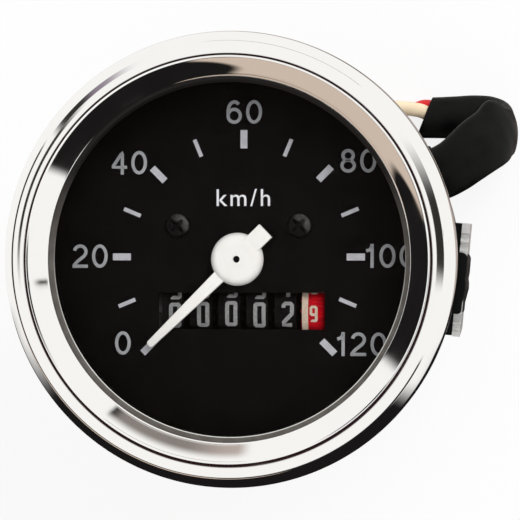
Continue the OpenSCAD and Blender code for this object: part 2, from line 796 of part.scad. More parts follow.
module cross_shaft() {
    color([0.75, 0.75, 0.77]) along_x(-6.8, cross_y, cross_z)
        cylinder(r = thin_shaft_r, h = 29.2);
}

// Wheel on the cross shaft, turned so that a tooth stands in the drive worm's gap
module cross_wheel() {
    color([0.82, 0.68, 0.36]) along_x(0, cross_y, cross_z) rotate(90)
        worm_wheel(small_m, thin_shaft_r, 1.6, 3);
}

module cross_worm() {
    color([0.8, 0.66, 0.34]) along_x(upright_x, cross_y, cross_z)
        worm(cross_worm_r, large_m, thin_shaft_r);
}

module upright_shaft() {
    color([0.75, 0.75, 0.77]) translate([upright_x, upright_y, base_z + 1.2])
        cylinder(r = thin_shaft_r, h = drum_z + 5.4 - base_z - 1.2);
}

module upright_wheel() {
    color([0.82, 0.68, 0.36]) translate([upright_x, upright_y, cross_z]) rotate(90)
        worm_wheel(large_m, thin_shaft_r, 2, 3);
}

module upright_worm() {
    color([0.8, 0.66, 0.34]) translate([upright_x, upright_y, drum_z])
        worm(upright_worm_r, small_m, thin_shaft_r);
}

// Ring that holds the pinion still, with a notch whose two teeth turn it once in a turn
module locking_ring() {
    notch = [for (a = [168 - 27, 168, 168 + 27]) 12 * [cos(a), sin(a)]];
    circle(4.85);
    difference() {
        circle(5.95);
        polygon(concat([[0, 0]], notch));
    }
    intersection() {
        rotate(168 + 9) polygon(teeth(20, transfer_m));
        polygon(concat([[0, 0]], notch));
    }
}

// Number drum, its local Z along +X. The 20 tooth gear on its right is driven by the pinion
// from the drum on its right, and the ring on its left drives the pinion on its left.
module drum(i) {
    half = drum_w / 2;
    along_x(first_drum_x + (i - 1) * drum_pitch, drum_y, drum_z) difference() {
        union() {
            translate([0, 0, -half]) cylinder(r = drum_r, h = drum_w);
            if (i > 1) translate([0, 0, -half - 0.45]) linear_extrude(0.5) locking_ring();
            translate([0, 0, -half - 0.15]) cylinder(r = 2.2, h = drum_w + 0.3);
            if (i < 6) translate([0, 0, half]) linear_extrude(0.45)
                rotate(mesh + 9) polygon(teeth(20, transfer_m));
        }
        translate([0, 0, -half - 1]) cylinder(r = drum_shaft_r + 0.05, h = drum_w + 2);
        translate([0, 0, -half - 1]) difference() {
            cylinder(r = 3.9, h = drum_w - 0.2);
            translate([0, 0, -1]) cylinder(r = 2.2, h = drum_w + 2);
        }
    }
}

drum_black = [0.08, 0.08, 0.085];
module drum_1() { color(drum_black) drum(1); }
module drum_2() { color(drum_black) drum(2); }
module drum_3() { color(drum_black) drum(3); }
module drum_4() { color(drum_black) drum(4); }
module drum_5() { color(drum_black) drum(5); }
module drum_6() { color([0.8, 0.06, 0.06]) drum(6); }

// Worm wheel that turns the last drum
module drum_wheel() {
    reach = upright_x - first_drum_x - 5 * drum_pitch - drum_w / 2 - 0.15;
    color([0.82, 0.68, 0.36]) along_x(upright_x, drum_y, drum_z) rotate(90) difference() {
        union() {
            translate([0, 0, -wheel_w / 2]) linear_extrude(wheel_w)
                polygon(teeth(wheel_teeth, small_m, 0.36, 0.9));
            translate([0, 0, -reach]) cylinder(r = 2.2, h = reach);
        }
        cylinder(r = drum_shaft_r + 0.05, h = 8, center = true);
    }
}

// Transfer pinion between drum i and drum i + 1: eight teeth on the left for the slower
// drum's gear, and every other one carried on to the right
module transfer_pinion(i) {
    left = first_drum_x + (i - 1) * drum_pitch + drum_w / 2;
    along_x(left, transfer_y, transfer_z) rotate(mesh + 180) difference() {
        union() {
            translate([0, 0, 0.1]) linear_extrude(0.43) polygon(teeth(8, transfer_m));
            translate([0, 0, 0.53]) linear_extrude(0.42) rotate(45)
                polygon(teeth(4, 2 * transfer_m, 0.19, 0.4, 0.62));
        }
        cylinder(r = transfer_shaft_r + 0.05, h = 8, center = true);
    }
}

pinion_white = [0.9, 0.88, 0.82];
module transfer_pinion_1() { color(pinion_white) transfer_pinion(1); }
module transfer_pinion_2() { color(pinion_white) transfer_pinion(2); }
module transfer_pinion_3() { color(pinion_white) transfer_pinion(3); }
module transfer_pinion_4() { color(pinion_white) transfer_pinion(4); }
module transfer_pinion_5() { color(pinion_white) transfer_pinion(5); }

bezel_ring();
lens_glass();
lens_gasket();
case_shell();
dial_plate();
dial_screws();
movement_base();
movement_top();
movement_screws();
counter_cheek_left();
counter_cheek_right();
counter_shaft();
transfer_shaft();
spindle_bush();
drive_bush();
cable_nozzle();
mounting_studs();
mounting_bracket();
bracket_pads();
stud_washers();
stud_nuts();
bulb_holder();
bulb_cap();
bulb_glass();
lead_boot();
lead_sleeve();
wire_red();
wire_cream();
terminal_red();
terminal_cream();
spring_stud();
pointer();
pointer_spindle();
drag_cup();
spring_collet();
hairspring();
drive_spindle();
magnet();
field_cup();
drive_worm();
cross_shaft();
cross_wheel();
cross_worm();
upright_shaft();
upright_wheel();
upright_worm();
drum_1();
drum_2();
drum_3();
drum_4();
drum_5();
drum_6();
drum_wheel();
transfer_pinion_1();
transfer_pinion_2();
transfer_pinion_3();
transfer_pinion_4();
transfer_pinion_5();
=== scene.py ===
# %% [markdown]
# A round speedometer for a small motorcycle, seen almost straight from above. The packed
# construction model is loaded first and stays as it is. Every part built below sits exactly
# where the construction model has it, and rides on the body that carries it there.

# %% Load the frame
import json
from math import atan2, copysign, cos, dist, exp, hypot, pi, radians, sin, sqrt, tan, tau

import bpy
from mathutils import Matrix, Vector


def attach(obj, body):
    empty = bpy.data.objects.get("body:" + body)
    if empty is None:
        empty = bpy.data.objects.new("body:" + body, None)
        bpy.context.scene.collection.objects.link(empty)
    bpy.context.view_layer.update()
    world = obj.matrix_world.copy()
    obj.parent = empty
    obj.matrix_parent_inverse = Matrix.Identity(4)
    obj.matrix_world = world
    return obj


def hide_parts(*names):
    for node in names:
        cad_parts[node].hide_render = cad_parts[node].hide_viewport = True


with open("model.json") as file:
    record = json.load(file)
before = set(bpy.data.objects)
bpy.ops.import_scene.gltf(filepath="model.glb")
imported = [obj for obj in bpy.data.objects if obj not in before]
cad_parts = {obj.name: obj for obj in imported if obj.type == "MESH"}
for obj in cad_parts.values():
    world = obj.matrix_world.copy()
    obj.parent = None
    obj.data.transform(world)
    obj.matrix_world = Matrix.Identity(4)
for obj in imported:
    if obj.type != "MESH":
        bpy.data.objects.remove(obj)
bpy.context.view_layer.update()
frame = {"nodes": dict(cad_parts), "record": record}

MM = 0.001
record = frame["record"]
home = {node: body for body, nodes in record["behaviour"]["bodies"].items() for node in nodes}


def new_object(name, data):
    piece = bpy.data.objects.new(name, data)
    bpy.context.scene.collection.objects.link(piece)
    return piece


# %% [markdown]
# The photograph looks down on the dial from 40 cm, leaning 8.5 degrees to the right. A long
# lens keeps the rim round. The camera's own axes are worked out from where it looks, with
# the dial's top at the top of the picture.

# %% Camera
CAMERA_LEAN = 8.5
CAMERA_AT = Vector((64.12, 2.02, 469.2)) * MM
LOOKS_AT = Vector((4.997, -0.056, 73.6)) * MM
camera = new_object("camera", bpy.data.cameras.new("camera"))
camera.data.lens = 191.2
camera.data.sensor_width = 36.0
camera.data.clip_start = 0.01
back = (CAMERA_AT - LOOKS_AT).normalized()
right = Vector((0, 1, 0)).cross(back).normalized()
axes = Matrix((right, back.cross(right), back)).transposed().to_4x4()
camera.matrix_world = Matrix.Translation(CAMERA_AT) @ axes
bpy.context.scene.camera = camera
print("camera at", [round(c, 4) for c in CAMERA_AT])

# %% [markdown]
# Most parts here are turned on a lathe, so one helper does most of the work: it draws half
# of the section as a chain of points, spins it once round, and merges the seam. Another
# pulls a flat outline up to a thickness. Both leave the part's place in its mesh, with its
# object at the origin.

# %% Helpers for selecting and shaping
def clear_selection():
    bpy.ops.object.select_all(action="DESELECT")


def pick(piece):
    clear_selection()
    piece.select_set(True)
    bpy.context.view_layer.objects.active = piece


def settle(piece, crease=35):
    """Puts a part's place into its mesh and smooths all but its sharp edges."""
    pick(piece)
    bpy.ops.object.transform_apply(location=True, rotation=True, scale=True)
    bpy.ops.object.shade_smooth_by_angle(angle=radians(crease))
    return piece


def edit(piece):
    """Opens a piece in edit mode with everything selected."""
    pick(piece)
    bpy.ops.object.mode_set(mode="EDIT")
    bpy.ops.mesh.select_all(action="SELECT")


def merge_points(apart=1e-6):
    bpy.ops.mesh.select_all(action="SELECT")
    bpy.ops.mesh.remove_doubles(threshold=apart)
    bpy.ops.mesh.select_all(action="SELECT")


def pull_up(height):
    bpy.ops.mesh.extrude_region_move(TRANSFORM_OT_translate={"value": (0, 0, height * MM)})


def face_outward():
    """Turns every face outward and leaves edit mode."""
    bpy.ops.mesh.select_all(action="SELECT")
    bpy.ops.mesh.normals_make_consistent(inside=False)
    bpy.ops.object.mode_set(mode="OBJECT")


def chain(name, points):
    """A chain of edges through points in mm, drawn from one corner of a plane."""
    clear_selection()
    bpy.ops.mesh.primitive_plane_add(size=MM, location=(0, 0, 0))
    piece = bpy.context.object
    piece.name = name
    bpy.ops.object.mode_set(mode="EDIT")
    bpy.ops.mesh.merge(type="CENTER")
    bpy.ops.transform.translate(value=Vector(points[0]) * MM)
    for here, there in zip(points, points[1:]):
        step = (Vector(there) - Vector(here)) * MM
        bpy.ops.mesh.extrude_vertices_move(TRANSFORM_OT_translate={"value": step})
    return piece


def turned(name, outline, around=128, centre=(0, 0), crease=35, closed=True):
    """A part turned from an outline of (radius, height) in mm."""
    points = [(r, 0, z) for r, z in outline]
    if closed:
        points.append(points[0])
    piece = chain(name, points)
    merge_points()
    bpy.ops.mesh.spin(steps=around, angle=tau, center=(0, 0, 0), axis=(0, 0, 1))
    merge_points()
    bpy.ops.transform.translate(value=(centre[0] * MM, centre[1] * MM, 0))
    face_outward()
    return settle(piece, crease)


def arc(centre, radius, start, end, steps):
    """Points of an arc, angles in degrees."""
    angles = [radians(start + (end - start) * i / steps) for i in range(steps + 1)]
    return [(centre[0] + radius * cos(a), centre[1] + radius * sin(a)) for a in angles]


def pressed(name, outline, low, high, bevel=0.0):
    """A flat outline in mm, filled and pulled up from low to high."""
    piece = chain(name, [(x, y, low) for x, y in outline] + [(*outline[0], low)])
    merge_points()
    bpy.ops.mesh.edge_face_add()
    pull_up(high - low)
    face_outward()
    if bevel:
        soften(piece, bevel)
    return settle(piece)


def modify(piece, kind, **settings):
    """Sets up a modifier and applies it."""
    pick(piece)
    modifier = piece.modifiers.new("step", kind)
    for name, value in settings.items():
        setattr(modifier, name, value)
    bpy.ops.object.modifier_apply(modifier="step")


def reshape(piece, rule):
    """Moves each point of a part to where rule(x, y, z) puts it."""
    for v in piece.data.vertices:
        v.co = rule(*v.co)


def soften(piece, width, segments=3, angle=40):
    """Rounds a part's sharp edges with a bevel of width mm."""
    modify(
        piece, "BEVEL", width=width * MM, segments=segments, limit_method="ANGLE",
        angle_limit=radians(angle),
    )


def join(name, pieces):
    """Joins parts of one finish into the first of them."""
    pick(pieces[0])
    if len(pieces) > 1:
        for piece in pieces:
            piece.select_set(True)
        bpy.ops.object.join()
    bpy.context.object.name = name
    return bpy.context.object


def swing(points, degrees):
    """Points turned about the pointer's axis."""
    a = radians(degrees)
    return [
        (x * cos(a) - y * sin(a), x * sin(a) + y * cos(a), *rest)
        for x, y, *rest in points
    ]


def strip(left, right, half):
    """The corners of a straight strip, half being half its width."""
    return [(left, -half), (right, -half), (right, half), (left, half)]


# %% [markdown]
# Finishes are built by hand from nodes. Each starts as the same shader, and a few helpers add
# what real surfaces have: a gloss and a colour that change in patches, and a grain. Patterns
# read Object coordinates, so they stay on the part from any side.

# %% Helpers for finishes
def add_node(tree, kind, inputs, result=0, **settings):
    """A new node's output. Each input is a value, or another node's output to link."""
    node = tree.nodes.new("ShaderNode" + kind)
    for name, value in settings.items():
        setattr(node, name, value)
    for key, value in inputs.items():
        socket = node.inputs[key]
        if isinstance(value, bpy.types.NodeSocket):
            tree.links.new(value, socket)
        else:
            socket.default_value = (*value, 1.0) if socket.type == "RGBA" else value
    return node.outputs[result]


class Finish:
    """One material, with its nodes added one by one."""

    def __init__(self, name, colour, roughness, metallic=0.0, specular=0.5):
        self.material = bpy.data.materials.new(name)
        self.material.use_nodes = True
        self.tree = self.material.node_tree
        self.shader = self.tree.nodes["Principled BSDF"]
        self.set("Base Color", (*colour, 1.0)).set("Roughness", roughness)
        self.set("Metallic", metallic).set("Specular IOR Level", specular)
        self.place = self.add("TexCoord", {}, "Object")

    def set(self, socket, value):
        self.shader.inputs[socket].default_value = value
        return self

    def add(self, kind, inputs, result=0, **settings):
        return add_node(self.tree, kind, inputs, result, **settings)

    def feed(self, socket, source):
        self.tree.links.new(source, self.shader.inputs[socket])
        return self

    def noise(self, size, detail=4.0):
        """Cloudy noise whose lumps are about size mm across."""
        inputs = {"Vector": self.place, "Scale": 1.0 / (size * MM), "Detail": detail}
        return self.add("TexNoise", inputs, "Fac")

    def spread(self, source, low, high, start=0.35, end=0.65):
        """Turns values between start and end into values from low to high."""
        inputs = {"Value": source, "From Min": start, "From Max": end}
        return self.add("MapRange", inputs | {"To Min": low, "To Max": high}, "Result")

    def times(self, a, b):
        return self.add("Math", {0: a, 1: b}, operation="MULTIPLY")

    def tint(self, factor, colour):
        """Mixes another colour into the finish's own."""
        base = self.shader.inputs["Base Color"]
        so_far = base.links[0].from_socket if base.links else tuple(base.default_value)[:3]
        inputs = {"Factor": factor, "A": so_far, "B": colour}
        return self.feed("Base Color", self.add("Mix", inputs, "Result", data_type="RGBA"))

    def gloss(self, low, high, size):
        return self.feed("Roughness", self.spread(self.noise(size, 5.0), low, high))

    def patches(self, other, size, amount=0.5):
        return self.tint(self.spread(self.noise(size), 0.0, amount, 0.4, 0.65), other)

    def grain(self, size, depth, strength=0.5):
        """A bumpy surface, depth in mm."""
        inputs = {"Height": self.noise(size), "Strength": strength, "Distance": depth * MM}
        return self.feed("Normal", self.add("Bump", inputs, "Normal"))

    def hand_over(self, factor, shader):
        """Puts another shader in this one's place where factor is 1."""
        mix = self.add("MixShader", {"Fac": factor, 1: self.shader.outputs[0], 2: shader})
        self.tree.links.new(mix, self.tree.nodes["Material Output"].inputs["Surface"])


def paint(piece, finish):
    piece.data.materials.clear()
    piece.data.materials.append(finish.material)


def show(piece, finish, body):
    """Paints a piece, and has it ride on a body."""
    paint(piece, finish)
    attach(piece, body)


def stand_for(piece, node, finish):
    """Shows a piece in a construction part's place, on its body."""
    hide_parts(node)
    show(piece, finish, home[node])


# %% [markdown]
# The lighting lead follows the construction model's route. Two wires leave the boot at the
# back of the case. A soft black sleeve, pressed flat, covers their first stretch: it runs out
# to the upper right, folds back on itself and ends under its own start. From there the wires
# go round the cable nozzle to their terminals, hidden by the case.

# %% The lead's route
# Place, half width, half thickness and turn of the sleeve's section
SLEEVE_ROUTE = [
    (22.5, 14.2, 13.2, 4.6, 1.75, 82), (24.2, 14.0, 13.3, 4.7, 1.7, 88),
    (26.0, 14.3, 13.4, 4.8, 1.7, 100), (28.0, 15.5, 13.4, 5.0, 1.65, 114),
    (30.2, 17.1, 13.2, 5.1, 1.65, 119), (32.4, 18.6, 12.7, 5.1, 1.65, 117),
    (34.4, 19.8, 11.6, 4.95, 1.7, 110), (35.7, 20.6, 10.2, 4.6, 1.75, 104),
    (36.5, 21.0, 8.6, 4.2, 1.8, 100), (36.7, 21.4, 6.8, 3.9, 1.8, 97),
    (36.2, 21.9, 5.0, 3.95, 1.8, 95), (34.9, 22.6, 3.5, 4.1, 1.8, 94),
    (33.0, 23.2, 2.5, 4.15, 1.8, 93), (30.6, 23.6, 2.1, 3.9, 1.85, 92),
    (27.8, 23.7, 2.0, 3.65, 1.9, 91), (25.2, 23.7, 2.0, 3.55, 1.9, 90),
    (22.3, 23.7, 2.1, 3.5, 2.0, 90),
]
# Most of each wire lies level
RED_LEVEL, CREAM_LEVEL = 0.9, 1.2
RED_ROUTE = [(22.4, 25.9, 1.3), (20.9, 25.5, 1.0)] + [(x, y, RED_LEVEL) for x, y in (
    (19.2, 25.0), (17.2, 24.2), (14.6, 23.0), (11.3, 21.3), (7.6, 19.2), (3.4, 16.6),
    (-1.0, 14.0), (-5.2, 11.0), (-8.6, 7.7), (-10.8, 3.9), (-11.5, -0.2), (-10.7, -4.3),
    (-8.4, -7.9), (-5.0, -10.4), (-1.0, -11.5), (3.2, -11.1), (6.9, -9.2),
)] + [(9.7, -6.2, 1.2), (11.3, -2.4, 1.8), (11.8, -0.6, 2.0)]
CREAM_ROUTE = [
    (22.1, 24.8, 2.7), (20.7, 25.1, 3.1), (19.0, 25.3, 3.2), (17.0, 25.4, 3.1),
    (14.6, 25.2, 2.6), (11.9, 24.5, 1.8), (8.8, 23.2, 1.3),
] + [(x, y, CREAM_LEVEL) for x, y in (
    (5.0, 21.2), (1.0, 18.7), (-3.4, 15.7), (-7.8, 12.2), (-11.5, 8.0), (-13.6, 3.2),
    (-14.0, -1.8), (-12.7, -6.6), (-9.9, -10.6), (-5.8, -13.4),
)] + [(-1.2, -14.6, 1.5), (2.2, -14.8, 1.9), (4.0, -14.7, 2.0)]


def inside_sleeve(across):
    """Points along the sleeve, a share of its half width off its middle."""
    points = []
    for x, y, z, half, _, turn in SLEEVE_ROUTE[:-1]:
        dx, dy = swing([(across * half, 0)], turn)[0]
        points.append((x + dx, y + dy, z))
    return points


def new_curve(name, depth, resolution):
    """A round solid curve, with no points yet."""
    curve = bpy.data.curves.new(name, "CURVE")
    curve.dimensions = "3D"
    curve.bevel_depth = depth
    curve.bevel_resolution = resolution
    curve.use_fill_caps = True
    return curve


def laid_wire(name, points, radius):
    """A round wire through points in mm, as one smooth curve."""
    curve = new_curve(name, 1.0, 5)
    curve.resolution_u = 8
    spline = curve.splines.new("BEZIER")
    spline.bezier_points.add(len(points) - 1)
    for knot, point in zip(spline.bezier_points, points):
        knot.co = Vector(point) * MM
        knot.radius = radius * MM
        knot.handle_left_type = knot.handle_right_type = "AUTO"
    return new_object(name, curve)


def length_of(points):
    return sum((Vector(b) - Vector(a)).length for a, b in zip(points, points[1:])) * MM


red_points = inside_sleeve(0.5) + RED_ROUTE
cream_points = inside_sleeve(-0.1) + CREAM_ROUTE
wire_red = laid_wire("lead_wire_red", red_points, 0.9)
wire_cream = laid_wire("lead_wire_cream", cream_points, 1.2)
print("red wire", round(length_of(red_points), 4), "cream", round(length_of(cream_points), 4))

# %% [markdown]
# The sleeve is a thin soft tube. Its section is a flat oval, a little fuller at the edges,
# where the creased wall springs back. Rings of points along the route are skinned and given
# a wall, and low wrinkles run across it near the fold, as in soft plastic bent tight.

# %% Black sleeve
def along_route(t):
    """Place, half width, half thickness and turn at t, from 0 to the last row."""
    last = len(SLEEVE_ROUTE) - 1
    i = min(int(t), last - 1)
    f = t - i

    def blend(a, b, c, d):
        return 0.5 * (
            2 * b + (c - a) * f + (2 * a - 5 * b + 4 * c - d) * f * f
            + (3 * b - a - 3 * c + d) * f ** 3
        )

    rows = [SLEEVE_ROUTE[max(0, min(last, i + k))] for k in (-1, 0, 1, 2)]
    x, y, z, *rest = (blend(*values) for values in zip(*rows))
    return Vector((x, y, z)), *rest


STEPS, SIDES = 150, 40


def sleeve_rings():
    rings = []
    last = len(SLEEVE_ROUTE) - 1
    for step in range(STEPS + 1):
        t = last * step / STEPS
        place, half_w, half_t, turn = along_route(t)
        ahead = along_route(min(last, t + 0.05))[0] - along_route(max(0, t - 0.05))[0]
        ahead.normalize()
        wide = Vector((*swing([(1, 0)], turn)[0], 0))
        wide = (wide - wide.dot(ahead) * ahead).normalized()
        thick = ahead.cross(wide)
        ring = []
        for side in range(SIDES):
            a = tau * side / SIDES
            u, v = cos(a), sin(a)
            flat = copysign(abs(v) ** 0.8, v)
            fold = exp(-(((t - 8.5) / 3.0) ** 2))
            ripple = 0.04 * fold * sin(5.0 * t + 2.2 * u) * v
            slack = 1 - 0.1 * exp(-(((u + 0.8) / 0.25) ** 2))
            # The end is cut on a slant, and the upper half leans back with it
            slant = max(0.0, (t - last + 1.6) / 1.6) ** 1.5
            # The front layer's upper edge is pulled in where it comes out from the bezel,
            # and stands up in a curl where it meets the back layer
            waist = (
                1 - 0.2 * max(0, u) * exp(-(((t - 3.3) / 1.6) ** 2))
                + 0.3 * max(0, u) ** 3 * exp(-(((t - 7.1) / 0.8) ** 2))
            )
            ring.append(
                place + wide * half_w * u * waist * 0.985
                + thick * (half_t * flat * slack + ripple) - ahead * slant * (0.25 + 1.35 * u)
            )
        rings.append(ring)
    return rings


sleeve_mesh = bpy.data.meshes.new("lead_sleeve_soft")
sleeve_mesh.from_pydata([p * MM for ring in sleeve_rings() for p in ring], [], [
    (i + k, i + (k + 1) % SIDES, i + SIDES + (k + 1) % SIDES, i + SIDES + k)
    for i in range(0, STEPS * SIDES, SIDES) for k in range(SIDES)
])
sleeve = new_object("lead_sleeve_soft", sleeve_mesh)
modify(sleeve, "SOLIDIFY", thickness=0.35 * MM, offset=-1)
settle(sleeve, 60)
print("sleeve faces", len(sleeve.data.polygons))

# %% Terminals on the wires
def bullet(name, route):
    """A sleeved bullet terminal, turned upright and then laid along the wire's end."""
    piece = turned(
        name,
        [(0, 0), (1.25, 0), (1.6, 0.3), (1.95, 1.0), (2.0, 1.4), (2.0, 7.8), (1.9, 8.4),
         (1.5, 8.7), (1.45, 9.6), (1.75, 9.8), (1.9, 10.1), (1.9, 11.4), (1.7, 12.0),
         (1.2, 12.8), (0.6, 13.0), (0, 13.0)],
        around=48,
        closed=False,
    )
    end, before = Vector(route[-1]), Vector(route[-2])
    heading = end - before
    heading.z = 0
    turn = Vector((0, 0, 1)).rotation_difference(heading)
    piece.matrix_world = Matrix.Translation(end * MM) @ turn.to_matrix().to_4x4()
    return settle(piece)


bullet_red = bullet("terminal_red_bullet", RED_ROUTE)
bullet_cream = bullet("terminal_cream_bullet", CREAM_ROUTE)

SLEEVE = Finish("sleeve_plastic", (0.0018, 0.002, 0.0018), 0.36, specular=0.14)
SLEEVE.set("Sheen Weight", 0.05).set("Sheen Roughness", 0.25)
SLEEVE.gloss(0.3, 0.5, 3.0).patches((0.008, 0.008, 0.0075), 3.0)
SLEEVE.grain(0.5, 0.03, 0.3)
RED = Finish("wire_red_plastic", (0.72, 0.006, 0.012), 0.35)
RED.gloss(0.3, 0.45, 1.0).patches((0.6, 0.004, 0.01), 2.0)
CREAM = Finish("wire_cream_plastic", (0.97, 0.8, 0.56), 0.4)
CREAM.gloss(0.3, 0.5, 1.0).patches((0.9, 0.7, 0.46), 2.0)
for piece, node, finish in (
    (wire_red, "wire_red", RED), (wire_cream, "wire_cream", CREAM),
    (sleeve, "lead_sleeve", SLEEVE), (bullet_red, "terminal_red", RED),
    (bullet_cream, "terminal_cream", CREAM),
):
    stand_for(piece, node, finish)

# %% [markdown]
# The studio: a white floor, and a world that shines evenly on everything that isn't a mirror.
# Chrome shows what stands round it, so for mirror rays alone the world is a room: a dark
# patch straight above, where the camera is, soft white all round it, and low down a few
# panels, beige, black, white and grey, whose places are read from the bezel's reflections.

# %% Studio
scene = bpy.context.scene
scene.view_settings.view_transform = "Standard"
scene.world = bpy.data.worlds.new("studio")
scene.world.use_nodes = True
sky = scene.world.node_tree
sky.nodes.clear()


def calc(operation, a, b=0.0):
    return add_node(sky, "Math", {0: a, 1: b}, operation=operation)


def mixed(factor, a, b):
    inputs = {"Factor": factor, "A": a, "B": b}
    return add_node(sky, "Mix", inputs, "Result", data_type="RGBA")


def band(source, edge, width):
    """0 below edge, 1 above it, with a soft step of width."""
    inputs = {"Value": source, "From Min": edge - width / 2, "From Max": edge + width / 2}
    return add_node(sky, "MapRange", inputs, "Result", interpolation_type="SMOOTHSTEP")


def outside(source, edge, width):
    return calc("SUBTRACT", 1.0, band(source, edge, width))


WHITE, GREY, BLACK = (1.0, 0.99, 0.97), (0.26, 0.23, 0.214), (0.01, 0.009, 0.009)
BEIGE, DARK, PALE = (0.64, 0.52, 0.43), (0.03, 0.029, 0.026), (0.5, 0.425, 0.39)
CEILING, LILAC = (0.02, 0.008, 0.009), (0.3, 0.25, 0.3)
# The room leans with the camera. A mirror ray's tilt is 0 straight up and 180 straight down
generated = add_node(sky, "TexCoord", {}, "Generated")
lean = {"Vector": generated, "Rotation": (0.0, radians(CAMERA_LEAN), 0.0)}
ray = add_node(sky, "Mapping", lean, vector_type="POINT")
x, y, z = (add_node(sky, "SeparateXYZ", {0: ray}, axis) for axis in "XYZ")
turn = calc("DIVIDE", calc("ARCTAN2", y, x), tau)
azimuth = calc("FRACT", calc("ADD", turn, 1.0))
tilt = calc("MULTIPLY", calc("ARCCOSINE", z), 180 / pi)


def round_the_room(*plan):
    """Each colour of the plan is followed by the azimuths, in degrees, where it stands."""
    stops = []
    for item in plan:
        if isinstance(item, tuple):
            colour = (*item, 1)
        else:
            stops.append((item / 360, colour))
    ramp = sky.nodes.new("ShaderNodeValToRGB")
    ramp.color_ramp.interpolation = "EASE"
    stones = ramp.color_ramp.elements
    while len(stones) < len(stops):
        stones.new(0.5)
    for stone, stop in zip(stones, stops):
        stone.position, stone.color = stop
    sky.links.new(azimuth, ramp.inputs["Fac"])
    return ramp.outputs["Color"]


streak = round_the_room(
    DARK, 0, 16, WHITE, 37, 134, DARK, 146, 172, WHITE, 190, 350, DARK, 358,
)
blob = round_the_room(
    DARK, 0, 16, WHITE, 37, 118, LILAC, 130, DARK, 137, 143, WHITE, 148, 350, DARK, 358,
)
rest_of_funnel = round_the_room(
    WHITE, 0, 6, DARK, 7, WHITE, 9, 55, DARK, 56, GREY, 60, 80, PALE, 98, WHITE, 103, 360,
)
low_walls = round_the_room(WHITE, 0, 196, BLACK, 212, 312, WHITE, 322, 360)
under_walls = round_the_room(WHITE, 0, 188, BLACK, 194, 330, WHITE, 336, 360)
outline = round_the_room(
    PALE, 0, 34, DARK, 42, 62, PALE, 70, 96, DARK, 102, 114, PALE, 122, 188,
    BLACK, 194, 330, PALE, 336, 360,
)
# The black wall reaches lowest. The beige door in it starts a little above, and is wider at
# its top and foot than in the middle
WALL_AT, WALL_HALF, DOOR_AT, DOOR_HALF = 241, 89.5, 234, 27.5
bearing = calc("MULTIPLY", azimuth, 360)
from_wall = calc("ABSOLUTE", calc("SUBTRACT", bearing, WALL_AT))
from_door = calc("ABSOLUTE", calc("SUBTRACT", bearing, DOOR_AT))
top_flare = calc("MULTIPLY", band(tilt, 58, 13), 18)
foot_flare = calc("MULTIPLY", outside(tilt, 47, 8), 4)
from_door = calc("SUBTRACT", from_door, calc("ADD", top_flare, foot_flare))
door = calc("MULTIPLY", outside(from_door, DOOR_HALF, 5), band(tilt, 46.5, 2))
grey = calc("SUBTRACT", band(tilt, 45.5, 2), band(tilt, 55, 8))
funnel_walls = mixed(grey, WHITE, rest_of_funnel)
funnel_walls = mixed(outside(from_wall, WALL_HALF, 4), funnel_walls, BLACK)
funnel_walls = mixed(door, funnel_walls, BEIGE)
overhead = calc("ADD", tilt, calc("MULTIPLY", y, 14.0))
room = mixed(band(overhead, 8.5, 2.5), CEILING, WHITE)
for start, width, walls in (
    (17.8, 1.5, streak), (24.0, 1.5, blob), (43, 2, funnel_walls), (72, 4, low_walls),
    (106, 8, under_walls), (138, 10, outline),
):
    room = mixed(band(tilt, start, width), room, walls)
ray_is = sky.nodes.new("ShaderNodeLightPath").outputs
plain = mixed(ray_is["Is Camera Ray"], (0.8, 0.8, 0.8), (1.0, 1.0, 1.0))
background = add_node(sky, "Background", {"Color": mixed(ray_is["Is Glossy Ray"], plain, room)})
sky.links.new(background, sky.nodes.new("ShaderNodeOutputWorld").inputs["Surface"])
print("studio nodes:", len(sky.nodes))

# %% Floor and lamp
clear_selection()
bpy.ops.mesh.primitive_plane_add(size=3.0, location=(0, 0, -0.0002))
floor = bpy.context.object
floor.name = "floor"
FLOOR = Finish("studio_floor", (0.9, 0.9, 0.9), 0.9)
FLOOR_GLOW = 0.85
glow = FLOOR.times(FLOOR.add("LightPath", {}, "Is Camera Ray"), FLOOR_GLOW)
FLOOR.hand_over(glow, FLOOR.add("Emission", {"Color": (1, 1, 1)}))
paint(floor, FLOOR)
floor.visible_glossy = False

key_lamp = new_object("key_lamp", bpy.data.lights.new("key_lamp", "AREA"))
key_lamp.data.shape = "DISK"
key_lamp.data.size = 0.5
key_lamp.data.energy = 4.0
key_lamp.location = (0.4, 0.4, 0.75)
aim = Vector((0, 0, 0.05)) - key_lamp.location
key_lamp.rotation_euler = aim.to_track_quat("-Z", "Y").to_euler()
key_lamp.visible_glossy = False

# %% [markdown]
# The bezel is a strip of steel rolled over the case's flange, then chrome plated. It has a
# hem under the flange, a bulging side, a bright rim, a narrow groove and a hollow funnel down
# to the glass. A mirror finish shows every flat, so it is spun with many steps.

